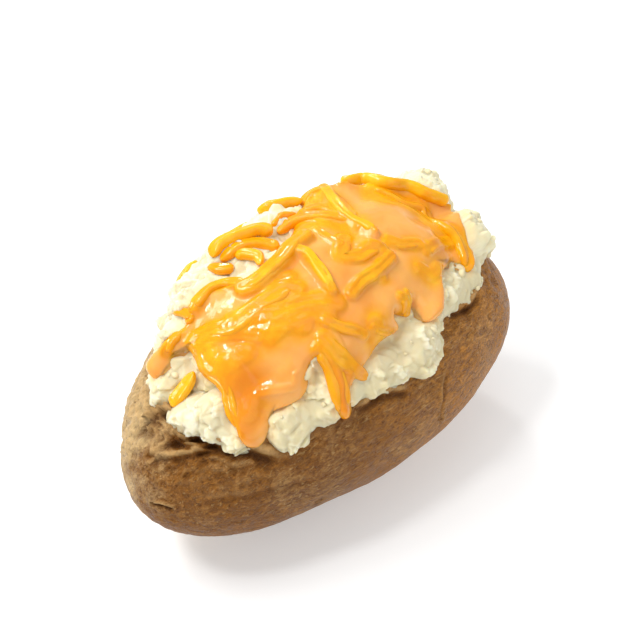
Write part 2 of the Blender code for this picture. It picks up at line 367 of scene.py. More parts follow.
# ============================================================ shader maths
class Socket:
    """A node's output that takes part in Python expressions."""

    def __init__(self, tree: bpy.types.NodeTree, link: bpy.types.NodeSocket) -> None:
        """Keep the tree that the socket belongs to."""
        self.tree = tree
        self.link = link

    def _math(self, operation: str, *values: Socket | float) -> Socket:
        """A Math node on this socket and on further values."""
        return Bench(self.tree).node("ShaderNodeMath", {"operation": operation}, dict(enumerate(values)))

    def __add__(self, other: Socket | float) -> Socket:
        """Sum."""
        return self._math("ADD", self, other)

    def __sub__(self, other: Socket | float) -> Socket:
        """Difference."""
        return self._math("SUBTRACT", self, other)

    def __rsub__(self, other: float) -> Socket:
        """Difference from a number."""
        return self._math("SUBTRACT", other, self)

    def __mul__(self, other: Socket | float) -> Socket:
        """Product."""
        return self._math("MULTIPLY", self, other)

    __radd__ = __add__
    __rmul__ = __mul__

    def clamped(self, low: float = 0.0, high: float = 1.0) -> Socket:
        """This value kept between low and high."""
        return self._math("MINIMUM", self._math("MAXIMUM", self, low), high)

    def eased(self, low: float, high: float) -> Socket:
        """0 below low, 1 above high and an eased rise between them."""
        ease = {"interpolation_type": "SMOOTHSTEP"}
        values = {"Value": self, "From Min": low, "From Max": high}
        return Bench(self.tree).node("ShaderNodeMapRange", ease, values)


class Bench:
    """Makes the nodes of one material."""

    def __init__(self, tree: bpy.types.NodeTree) -> None:
        """Work in the given tree."""
        self.tree = tree

    def node(self, kind: str, settings: dict[str, Any], values: dict[Any, Any], output: Any = 0) -> Socket:
        """Add a node, with its settings made before its values.

        Args:
            kind: The node's type.
            settings: Properties of the node.
            values: Numbers, colours or sockets for its inputs, by name or place.
            output: Name or place of the output that comes back.

        Returns:
            The chosen output.
        """
        made = self.tree.nodes.new(kind)
        for key, value in settings.items():
            setattr(made, key, value)
        feed(made, values)
        return Socket(self.tree, made.outputs[output])

    def place(self, stretch: Sequence[float] | None = None, shift: Sequence[float] = (0, 0, 0)) -> Socket:
        """Position on the object in metres, scaled and moved by a Mapping node if a stretch is given.

        Args:
            stretch: Factors along X, Y and Z. A large one makes a pattern short that way.
            shift: Way that the pattern moves, in metres.

        Returns:
            The position as a vector.
        """
        place = self.node("ShaderNodeTexCoord", {}, {}, "Object")
        if stretch is None:
            return place
        return self.node("ShaderNodeMapping", {}, {"Vector": place, "Scale": stretch, "Location": shift})

    def noise(self, scale: float, detail: float = 3.0, rough: float = 0.5, bend: float = 0.0,
              vector: Socket | None = None) -> Socket:
        """Noise from 0 to 1, over the position on the object unless another vector is given.

        Args:
            scale: How many lumps there are in a metre.
            detail: Number of finer layers.
            rough: How strong each finer layer is next to the one before.
            bend: How far the pattern bends itself.
            vector: Position to use.

        Returns:
            The noise.
        """
        values = {
            "Vector": vector or self.place(), "Scale": scale, "Detail": detail, "Roughness": rough,
            "Distortion": bend,
        }
        return self.node("ShaderNodeTexNoise", {}, values, "Fac")

    def cells(self, vector: Socket, scale: float) -> Socket:
        """Distance to the nearest of many scattered points, in cells."""
        return self.node("ShaderNodeTexVoronoi", {}, {"Vector": vector, "Scale": scale}, "Distance")

    def layer(self, label: str) -> Socket:
        """A number kept on the mesh."""
        settings = {"attribute_type": "GEOMETRY", "attribute_name": label}
        return self.node("ShaderNodeAttribute", settings, {}, "Fac")

    def mix(self, share: Socket | float, first: Socket | Colour, second: Socket | Colour) -> Socket:
        """Blend of two colours: the first at share 0 and the second at 1."""
        values = {"Factor": share, MIX_FIRST: opaque(first), MIX_SECOND: opaque(second)}
        return self.node("ShaderNodeMix", {"data_type": "RGBA"}, values, MIX_RESULT)

    def bump(self, height: Socket, distance: float, strength: float = 1.0) -> Socket:
        """Normal bent by a height, where 1 stands for the given distance in metres."""
        values = {"Height": height, "Distance": distance, "Strength": strength}
        return self.node("ShaderNodeBump", {}, values)


def feed(node: bpy.types.Node, values: dict[Any, Any]) -> None:
    """Give a node's inputs their values. Sockets are linked and all else is set.

    Args:
        node: The node to feed.
        values: Values or sockets, by the name or place of the input.
    """
    for key, value in values.items():
        if isinstance(value, Socket):
            value.tree.links.new(value.link, node.inputs[key])
        else:
            node.inputs[key].default_value = value


def opaque(colour: Socket | Colour) -> Socket | tuple[float, float, float, float]:
    """A plain colour with full alpha. A socket stays as it is."""
    return colour if isinstance(colour, Socket) else (*colour, 1.0)


def srgb(red: int, green: int, blue: int) -> Colour:
    """Linear colour from screen values of 0 to 255, by the curve of sRGB and its straight start.

    Args:
        red, green, blue: The colour as a screen shows it.

    Returns:
        The same colour in linear light, from 0 to 1.
    """
    straight_to, scale = 10, 255 * 12.92
    values = (red, green, blue)
    return tuple(((v / 255 + 0.055) / 1.055) ** 2.4 if v > straight_to else v / scale for v in values)


# ============================================================ finishes
@dataclass(frozen=True)
class Finish:
    """What every finish has: its own material, its record slot and its constant shader values."""

    name: str
    slot: str
    roughness: float
    scatter: float = 0.0
    scatter_radius: Colour = (1.0, 0.6, 0.3)
    scatter_scale: float = 1.0 * MM
    specular: float = 0.5

    def material(self) -> bpy.types.Material:
        """Make the material and give its shader the constants and the linked inputs.

        Returns:
            The material.
        """
        made = bpy.data.materials.new(self.name)
        made.use_nodes = True
        shader = made.node_tree.nodes["Principled BSDF"]
        constants = {
            "Roughness": self.roughness, "Subsurface Weight": self.scatter,
            "Subsurface Radius": self.scatter_radius, "Subsurface Scale": self.scatter_scale,
            "Specular IOR Level": self.specular,
        }
        feed(shader, constants)
        feed(shader, self.inputs(Bench(made.node_tree)))
        return made

    def inputs(self, nodes: Bench) -> dict[str, Any]:
        """Sockets or plain values for the shader's inputs that differ from finish to finish.

        Args:
            nodes: Makes the material's nodes.

        Returns:
            Sockets or values, by the name of the shader's input.
        """
        raise NotImplementedError

    def dress(self, obj: bpy.types.Object) -> None:
        """Put the finish on an object."""
        obj.data.materials.clear()
        obj.data.materials.append(self.material())


@dataclass(frozen=True)
class BakedSkin(Finish):
    """Russet skin, brown to amber, with specks and pale streaks that are partly painted glints, and painted
    light and shade: tan where the key lamp falls, dark in grooves and pale on ridges.
    """

    tan: Colour = srgb(226, 193, 137)
    amber: Colour = srgb(206, 138, 54)
    brown: Colour = srgb(156, 101, 34)
    dark: Colour = srgb(84, 45, 10)
    pale: Colour = srgb(214, 172, 112)

    def inputs(self, nodes: Bench) -> dict[str, Any]:
        """Colour, roughness and relief of the skin.

        Args:
            nodes: Makes the material's nodes.

        Returns:
            Sockets, by the name of the shader's input.
        """
        patch = nodes.noise(scale=55.0, detail=4.0, rough=0.6, bend=0.4).eased(0.34, 0.66)
        drawn = nodes.place(stretch=(1.0, 1.9, 1.9))
        mottle = nodes.noise(scale=430.0, detail=4.0, rough=0.68, bend=0.5, vector=drawn).eased(0.34, 0.64)
        drawn = nodes.place(stretch=(1.0, 2.4, 2.4))
        grain = nodes.noise(scale=1200.0, rough=0.65, vector=drawn).eased(0.38, 0.62)
        # Pale lengthwise streaks: partly scratches, partly painted glints of the skin's sheen.
        drawn = nodes.place(stretch=(1.0, 10.0, 8.0), shift=(0.1, 0.2, 0.3))
        scratch_and_glint = nodes.noise(scale=210.0, detail=2.0, bend=0.8, vector=drawn)
        scratch_and_glint = scratch_and_glint.eased(0.59, 0.69) * (0.35 + patch * 0.65)
        drawn = nodes.place(stretch=(1.0, 1.6, 1.6), shift=(0.3, 0.1, 0.2))
        speck = 1 - nodes.cells(drawn, scale=520.0).eased(0.1, 0.34)
        ring_at = nodes.cells(nodes.place(), scale=250.0)
        ring = ring_at.eased(0.1, 0.18) * (1 - ring_at.eased(0.19, 0.28))
        fold = nodes.layer("fold")
        painted_lit_side = nodes.layer("painted_lit_side")
        colour = nodes.mix(nodes.layer("amber").clamped(), self.brown, self.amber)
        # Painted light: tan where the key lamp falls, with fainter dark mottle and grain there.
        colour = nodes.mix((painted_lit_side + patch * 0.3 + mottle * 0.2 - 0.28).clamped(), colour, self.tan)
        colour = nodes.mix((1 - mottle) * (0.56 - painted_lit_side * 0.4), colour, self.dark)
        colour = nodes.mix((1 - grain) * (0.38 - painted_lit_side * 0.24), colour, self.dark)
        colour = nodes.mix(speck * (0.6 - patch * 0.3), colour, self.dark)
        colour = nodes.mix(ring * patch * 0.45, colour, self.dark)
        # Pale streaks, partly scratches and partly painted glints.
        colour = nodes.mix(scratch_and_glint * 0.6, colour, self.pale)
        # Painted shade and highlight from the relief: darker the deeper the skin lies in folds, eyes and
        # pits, paler the higher it stands on ridges, crests and the lip.
        colour = nodes.mix((fold * 0.8).clamped(), colour, self.dark)
        colour = nodes.mix((fold * -0.9).clamped(), colour, self.pale)
        relief = mottle * 0.45 + grain * 0.22 + scratch_and_glint * 0.35 - ring * 0.25 - speck * 0.3
        return {
            "Base Color": colour,
            "Roughness": 0.27 + mottle * 0.25,
            "Normal": nodes.bump(relief, distance=0.5 * MM, strength=1.0),
        }


@dataclass(frozen=True)
class FluffedFlesh(Finish):
    """Fluffed flesh: creamy white and a little yellow, glassy in patches, and the same glassy colour as
    painted shade in its creases.
    """

    cream: Colour = srgb(240, 234, 205)
    straw: Colour = srgb(234, 225, 186)
    glassy: Colour = srgb(218, 206, 166)
    stained: Colour = srgb(255, 222, 160)

    def inputs(self, nodes: Bench) -> dict[str, Any]:
        """Colour, roughness and grain of the flesh.

        Args:
            nodes: Makes the material's nodes.

        Returns:
            Sockets, by the name of the shader's input.
        """
        patch = nodes.noise(scale=110.0, rough=0.55)
        grain = nodes.noise(scale=1000.0, detail=4.0, rough=0.65)
        colour = nodes.mix(patch.eased(0.35, 0.7), self.cream, self.straw)
        # The glassy colour is the flesh's own where it isn't fluffy, and painted shade in creases and on low
        # facets.
        colour = nodes.mix((nodes.layer("hollow") * 0.9).clamped(), colour, self.glassy)
        colour = nodes.mix((nodes.layer("stain") * 0.5).clamped(), colour, self.stained)
        return {
            "Base Color": colour,
            "Roughness": 0.4 + grain * 0.25,
            "Normal": nodes.bump(grain, distance=0.25 * MM, strength=0.5),
        }


@dataclass(frozen=True)
class MeltingCheese(Finish):
    """Grated cheese that is starting to melt: golden, smooth and a little see-through."""

    gold: Colour = srgb(240, 162, 8)
    light: Colour = srgb(248, 181, 26)
    deep: Colour = srgb(236, 150, 8)

    def cheese(self, nodes: Bench) -> Socket:
        """Gold that turns lighter and deeper in patches of about 6 mm.

        Args:
            nodes: Makes the material's nodes.

        Returns:
            The colour.
        """
        patch = nodes.noise(scale=150.0, rough=0.55)
        colour = nodes.mix(patch.eased(0.5, 0.75), self.gold, self.light)
        return nodes.mix(1 - patch.eased(0.28, 0.5), colour, self.deep)

    def ripple(self, nodes: Bench, scale: float, distance: float) -> Socket:
        """Normal bent by faint waves."""
        return nodes.bump(nodes.noise(scale, bend=0.6), distance, strength=0.5)

    def inputs(self, nodes: Bench) -> dict[str, Any]:
        """Colour and faint unevenness of the cheese."""
        return {
            "Base Color": self.cheese(nodes),
            "Normal": self.ripple(nodes, scale=340.0, distance=0.35 * MM),
        }


@dataclass(frozen=True)
class CheeseSauce(MeltingCheese):
    """Cheese sauce: smooth and glossy, pale orange, golden where melted cheese runs into it, and deeper
    orange in spots as painted shade.
    """

    pale: Colour = srgb(243, 175, 88)
    orange: Colour = srgb(237, 157, 68)
    shaded: Colour = srgb(228, 136, 26)

    def inputs(self, nodes: Bench) -> dict[str, Any]:
        """Colour and the slight waviness of the sauce.

        Args:
            nodes: Makes the material's nodes.

        Returns:
            Sockets, by the name of the shader's input.
        """
        wave = nodes.noise(scale=90.0, detail=2.0)
        sauce = nodes.mix(wave.eased(0.4, 0.7), self.pale, self.orange)
        colour = nodes.mix(nodes.layer("gold").clamped(), sauce, self.cheese(nodes))
        return {
            # Painted shade: a deeper orange in the spots that deep marks.
            "Base Color": nodes.mix(nodes.layer("deep").clamped(), colour, self.shaded),
            "Normal": self.ripple(nodes, scale=260.0, distance=0.5 * MM),
        }


@dataclass(frozen=True)
class PaleFloor(Finish):
    """Plain pale floor, a little luminous as a lit table is."""

    white: Colour = (0.72, 0.72, 0.72)
    glow_colour: Colour = (1.0, 1.0, 1.0)
    glow: float = 0.36

    def inputs(self, nodes: Bench) -> dict[str, Any]:
        """One colour all over."""
        return {
            "Base Color": opaque(self.white),
            "Emission Color": opaque(self.glow_colour),
            "Emission Strength": self.glow,
        }


SKIN = BakedSkin("baked_skin", "baked_skin", roughness=0.45, specular=0.22)
FLESH = FluffedFlesh("fluffed_flesh", "potato_flesh", roughness=0.45, specular=0.3,
                     scatter=0.8, scatter_radius=(1.0, 0.85, 0.6), scatter_scale=2.6 * MM)
CRUMBS = FluffedFlesh("loose_flesh", "potato_flesh", roughness=0.45, specular=0.2, scatter=0.15,
                      scatter_radius=(1.0, 0.85, 0.6), scatter_scale=0.8 * MM)
SAUCE = CheeseSauce("cheese_sauce", "cheese_sauce", roughness=0.12, specular=0.42, scatter=0.5,
                    scatter_radius=(1.0, 0.5, 0.15), scatter_scale=1.4 * MM)
CHEESE = MeltingCheese("melting_cheese", "grated_cheese", roughness=0.13, specular=0.42, scatter=0.3,
                       scatter_radius=(1.0, 0.7, 0.2), scatter_scale=0.9 * MM)
GRATED = MeltingCheese("firm_cheese", "grated_cheese", roughness=0.15, specular=0.42, scatter=0.3,
                       scatter_radius=(1.0, 0.7, 0.2), scatter_scale=0.9 * MM, gold=srgb(246, 180, 14),
                       light=srgb(252, 198, 44), deep=srgb(240, 162, 10))
FLOOR = PaleFloor("pale_floor", "", roughness=0.8)


# ============================================================ potato
@dataclass
class Potato:
    """The potato's own shape: an egg with drawn-out ends that lean to -Y, thicker towards +X."""

    half_length: float
    half_width: float
    high_to_wide: float = 30.5 / 36.6
    rest_cut: float = 0.6 * MM
    end_power: float = 1.09
    taper: float = 0.07
    bend: float = 6.5 * MM

    @property
    def half_height(self) -> float:
        """Half its height at the middle, in metres, before the resting spot is cut off."""
        return self.half_width * self.high_to_wide

    def thickness(self, along: Array) -> Array:
        """Thickness at shares of the half length from the middle, where the middle has 1."""
        return 1.0 + self.taper * along

    def surface(self, direction: Array) -> Array:
        """Points of the skin in the directions of unit vectors.

        X is the half length times the direction's X to the end power. Y and Z are the half width and
        half height times the direction, times a thickness that grows with X. Y then leans by the bend
        times the square of the way along.

        Args:
            direction: Unit vectors, shape (..., 3).

        Returns:
            Points in metres, shaped like the directions.
        """
        along = signed_power(direction[..., 0], self.end_power)
        thick = self.thickness(along)
        x = self.half_length * along
        y = self.half_width * direction[..., 1] * thick - self.bend * along**2
        z = self.half_height * direction[..., 2] * thick + self.half_height - self.rest_cut
        return np.stack([x, y, z], axis=-1)

    def reach_of(self, points: Array) -> Array:
        """How far out points lie, as the length of the direction that gives them: 1 is the skin.

        Args:
            points: Points in metres from the middle of the resting spot, shape (..., 3).

        Returns:
            One length for each point.
        """
        along = points[..., 0] / self.half_length
        thick = self.thickness(along)
        x = np.abs(along) ** (1 / self.end_power)
        y = (points[..., 1] + self.bend * along**2) / (self.half_width * thick)
        z = (points[..., 2] - self.half_height + self.rest_cut) / (self.half_height * thick)
        return np.sqrt(x**2 + y**2 + z**2)


@dataclass(frozen=True)
class Fold:
    """A groove in the skin with a ridge on its upper side.

    Attributes:
        route: Places it runs through: millimetres along X, degrees round from the top towards -Y.
        depth: Depth of the groove in millimetres.
        width: Width from the groove's middle to its side, in millimetres.
        ridge: Height of the ridge in shares of the depth.
    """

    route: tuple[tuple[float, float], ...]
    depth: float
    width: float
    ridge: float = 0.6

    def profile(self, points: Array, line: Array) -> Array:
        """Height that the fold gives points of the skin, in metres.

        With s the distance uphill from the groove's middle in widths, the height is
        depth * (ridge * exp(-(s - ridge_at)^2) - exp(-s^2)), fading out towards the fold's ends.

        Args:
            points: Points of the skin.
            line: Points along the groove, close together.

        Returns:
            Heights, shaped like the points without their last axis.
        """
        height = np.zeros(points.shape[:-1])
        ridge_at = 1.7
        reach = 4.5 * self.width * MM
        near = np.all((points > line.min(axis=0) - reach) & (points < line.max(axis=0) + reach), axis=-1)
        away = points[near][:, None] - line[None]
        distance = np.linalg.norm(away, axis=-1)
        closest = np.argmin(distance, axis=1)
        pick = np.arange(len(closest))
        side = np.sign(away[pick, closest, 2])
        s = distance[pick, closest] * side / (self.width * MM)
        along = closest / (len(line) - 1)
        fade = smooth_step(along, 0.0, 0.2) * (1 - smooth_step(along, 0.8, 1.0))
        shape = self.ridge * np.exp(-((s - ridge_at) ** 2)) - np.exp(-(s**2))
        height[near] = shape * fade * self.depth * MM
        return height


# A separate program worked out most of these places from marks. They are data, not a design.
FOLDS = (
    Fold(((-51, 26), (-49, 29), (-47, 38), (-44, 46), (-42, 51), (-40, 58), (-37, 64)), 1.7, 1.1, 0.9),
    Fold(((-53, 4), (-52, 12), (-52, 20), (-51, 27)), 1.1, 0.7, 1.0),
    Fold(((-56, -24), (-54, -23), (-52, -18), (-50, -9), (-50, 0)), 1.3, 1.0, 1.2),
    Fold(((-58, -3), (-57, 1), (-56, 5), (-54, 9), (-52, 14)), 0.8, 0.7, 1.0),
    Fold(((-61, 5), (-59, 3), (-57, 8), (-56, 16), (-54, 25), (-51, 32), (-48, 37)), 0.9, 0.8, 0.9),
    Fold(((-62, 47), (-62, 59), (-61, 66), (-60, 77)), 0.9, 0.45, 0.7),
    Fold(((-53, 54), (-48, 56), (-44, 59), (-39, 63), (-33, 68)), 0.35, 0.9, 0.5),
    Fold(((-58, 70), (-52, 75), (-46, 79), (-38, 82), (-29, 86)), 0.3, 1.0, 0.5),
    Fold(((12, 104), (11, 89), (12, 82), (13, 75), (17, 68)), 0.4, 0.6, 0.8),
    Fold(((-16, 60), (-12, 62), (-7, 62), (-3, 65), (1, 68)), 0.9, 0.9, 0.9),
    Fold(((17, 48), (22, 47), (27, 51), (33, 52), (39, 49)), 0.8, 0.9, 0.9),
    Fold(((20, -58), (8, -63), (-6, -60), (-18, -64), (-30, -58)), 0.9, 0.9, 0.9),
    Fold(((30, -92), (14, -86), (-4, -95), (-20, -90)), 0.35, 0.9, 0.5),
)


@dataclass
class Jacket:
    """The skin with its open split: a closed surface that dips into a hollow inside the split.

    The spacing and width of eyes and pits are in millimetres, and all other lengths in metres.
    """

    potato: Potato
    rings: int = 470
    columns: int = 390
    split_centre: tuple[float, float] = (0.0, -2.0 * MM)
    split_half: tuple[float, float] = (47.0 * MM, 21.5 * MM)
    hollow_depth: float = 6.0 * MM
    lump_size: float = 25.0 * MM
    lump_height: float = 0.75 * MM
    wrinkle_size: float = 2.4 * MM
    crumple_size: float = 1.6 * MM
    eye_spacing: float = 17.0
    eye_width: float = 1.7
    pit_spacing: float = 4.2
    pit_width: float = 0.5

    def split_distance(self, points: Array) -> Array:
        """Distance outside the split's oval in metres, negative inside it, for points seen from above.

        Args:
            points: Points of the smooth skin, shape (..., 3).

        Returns:
            One distance for each point.
        """
        x, y = apart((points[..., :2] - np.array(self.split_centre)) / np.array(self.split_half))
        ragged = 0.06 * gradient_noise(points / (14 * MM), seed=41)
        radius = np.hypot(x, y)
        slope = np.hypot(x / self.split_half[0], y / self.split_half[1]) / np.maximum(radius, 1e-6)
        return (radius - 1.0 + ragged) / np.maximum(slope, 1e-6)

    def build(self) -> bpy.types.Object:
        """Skin with lumps, lengthwise wrinkles, folds round the split and pits.

        Returns:
            The skin, named and dressed.
        """
        polar = np.linspace(0, math.pi, self.rings)[:, None]
        turn = full_turn(self.columns)
        along = np.cos(polar) * np.ones_like(turn)
        direction = np.stack([along, np.sin(polar) * np.cos(turn), np.sin(polar) * np.sin(turn)], axis=-1)
        base = self.potato.surface(direction)
        normal = grid_normals(base)
        upper = smooth_step(base[..., 2], 24 * MM, 36 * MM)
        split = self.split_distance(base)
        # fold is the depth of the relief, which the skin's colour turns into painted shade in hollows and
        # painted highlight on ridges.
        relief, fold = self.relief(base, split, upper)
        inside = (1 - smooth_step(split, -1.5 * MM, 0.3 * MM)) * upper
        points = base + normal * (relief * (1 - inside))[..., None]
        points[..., 2] -= self.hollow_depth * inside
        points[..., 2] = np.maximum(points[..., 2], 0.0)
        # Painted light: the skin turns tan towards the back and the left end, where the key lamp falls, and
        # stays darker brown at the front.
        leftward = smooth_step(-base[..., 0], 15 * MM, 50 * MM)
        ragged = base[..., 1] + layered_noise(base, 9 * MM, seed=61) * 9 * MM
        painted_lit_side = smooth_step(ragged, -9 * MM, 5 * MM) * (0.4 + 0.6 * leftward)
        amber = smooth_step(base[..., 0], -30 * MM, 35 * MM)
        obj = closed_mesh("skin", points, {"fold": fold, "painted_lit_side": painted_lit_side, "amber": amber})
        SKIN.dress(obj)
        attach(obj, BODY)
        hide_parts("jacket")
        return obj

    def relief(self, base: Array, split: Array, upper: Array) -> tuple[Array, Array]:
        """Height of the skin's unevenness, and how deep in a fold or high on a ridge each point lies.

        Beside the split the skin is puckered: a noise that is short across the split's rim and long along
        it makes crests, and a finer one crumples the near side. A lip runs along the rim. Eyes and pits are
        round dips at scattered points.

        Args:
            base: Points of the smooth skin.
            split: Distance outside the split, in metres.
            upper: 1 on the upper side and 0 below.

        Returns:
            Height in metres, and depth from 0 to 1, below 0 on a ridge, which the skin's colour turns into
            painted shade and highlight.
        """
        x, y = base[..., 0], base[..., 1]
        lumps = layered_noise(base, self.lump_size, seed=3, layers=2) * -self.lump_height
        near_tip = smooth_step(-x, 26 * MM, 50 * MM)
        near_split = (1 - smooth_step(split, 2 * MM, 15 * MM)) * upper
        puckered = near_split * (0.25 + 0.75 * near_tip)
        front = smooth_step(-y, 0.0, 8 * MM)
        lengthwise = base * np.array([0.3, 1.0, 1.0])
        wrinkle_height = 0.11 + 0.08 * near_tip + 0.15 * near_split
        wrinkle = layered_noise(lengthwise, self.wrinkle_size, seed=9, fall=0.6) * wrinkle_height
        rim_space = np.stack([split / 2.2, x / 6, y / 6], axis=-1) / MM
        crest = 1 - np.abs(layered_noise(rim_space, 1.0, seed=33, layers=2, fall=0.45)) * 2.6
        strength = puckered * smooth_step(split, 0.0, 2.5 * MM)
        crests = (crest - 0.3) * strength * (1.1 + 0.9 * front)
        between = np.clip(0.2 - crest, -1, 1) * strength * 0.9
        crumple = layered_noise(base, self.crumple_size, seed=41, fall=0.65) * puckered * front * 0.6
        lip = np.exp(-((split - 0.8 * MM) / (0.8 * MM)) ** 2) * upper * 1.1
        eye = scattered_dips(base, self.eye_spacing, self.eye_width, seed=23, rare=0.4)
        pit = scattered_dips(base, self.pit_spacing, self.pit_width, seed=29, rare=0.45)
        folds = sum(fold.profile(base, self.line_of(fold)) for fold in FOLDS)
        height = wrinkle + crests + crumple + lip - eye * 0.9 - pit * 0.22
        depth = between - crumple * 0.8 + eye * 0.7 + pit * 0.5 - folds / MM - lip * 0.5
        return lumps + height * MM + folds, np.clip(depth, -0.8, 1)

    def line_of(self, fold: Fold, count: int = 50) -> Array:
        """Points on the smooth skin along a fold's groove.

        Args:
            fold: The fold.
            count: Number of points.

        Returns:
            Points in metres, shape (count, 3).
        """
        x, turn = curve_through(np.array(fold.route, dtype=float), count).T
        along = signed_power(x * MM / self.potato.half_length, 1 / self.potato.end_power)
        round_about = np.sqrt(np.maximum(1 - along**2, 0))
        turn = np.radians(turn)
        direction = np.stack([along, -round_about * np.sin(turn), round_about * np.cos(turn)], axis=-1)
        return self.potato.surface(direction)


# ============================================================ heap
@dataclass(frozen=True)
class Clump:
    """A rounded clump of flesh: its middle and radius in millimetres."""

    x: float
    y: float
    z: float
    radius: float

    @property
    def centre(self) -> Array:
        """Middle in metres."""
        return np.array([self.x, self.y, self.z]) * MM

    @property
    def radii(self) -> Array:
        """Half sizes in metres, a little longer along the potato."""
        return np.array([1.1, 1.0, 1.0]) * self.radius * MM


@dataclass(frozen=True)
class Lie:
    """How a shred lies in what is under it.

    Attributes:
        sink: Height of its middle over the sauce, in shares of its thickness.
        meet: Width of the fillet where sauce climbs its sides.
        bleed: How far its gold runs into the sauce.
        flat: Its thickness in shares of its width.
        settle: How smooth a bed it needs, in degrees of the map. A stiff shred bridges hollows.
        golden: How golden it turns the sauce.
        buried: Whether only the ridge that it raises in the sauce shows.
    """

    sink: float
    meet: float
    bleed: float
    flat: float
    settle: float
    golden: float = 1.0
    buried: bool = False


class Melt(Enum):
    """How far a shred of cheese has melted."""

    FIRM = Lie(sink=0.36, meet=0.5 * MM, bleed=0.5 * MM, flat=0.86, settle=3.5)
    SOFT = Lie(sink=0.06, meet=0.9 * MM, bleed=0.9 * MM, flat=0.8, settle=2.5)
    MELTED = Lie(sink=-0.22, meet=1.3 * MM, bleed=1.5 * MM, flat=0.7, settle=2.0)
    GONE = Lie(sink=-0.2, meet=1.6 * MM, bleed=3.4 * MM, flat=0.35, settle=2.0, buried=True)
    FOLD = Lie(sink=0.0, meet=0.9 * MM, bleed=0.5 * MM, flat=0.55, settle=2.0, golden=0.0, buried=True)


@dataclass(frozen=True)
class Shred:
    """One shred: the places on the map that it runs through, and how it lies."""

    route: tuple[tuple[float, float], ...]
    melt: Melt = Melt.SOFT
    width: float = 3.0
    rise: tuple[float, ...] = (0.0,)
    node: int = 0

    @property
    def half(self) -> float:
        """Half its width in metres."""
        return self.width / 2 * MM

    @property
    def thick(self) -> float:
        """Its thickness in metres."""
        return self.width * self.melt.value.flat * MM

    def rise_at(self, along: Array) -> Array:
        """How far it stands off its bed, in metres, at shares of its length."""
        return np.interp(along, np.linspace(0, 1, len(self.rise)), self.rise) * MM
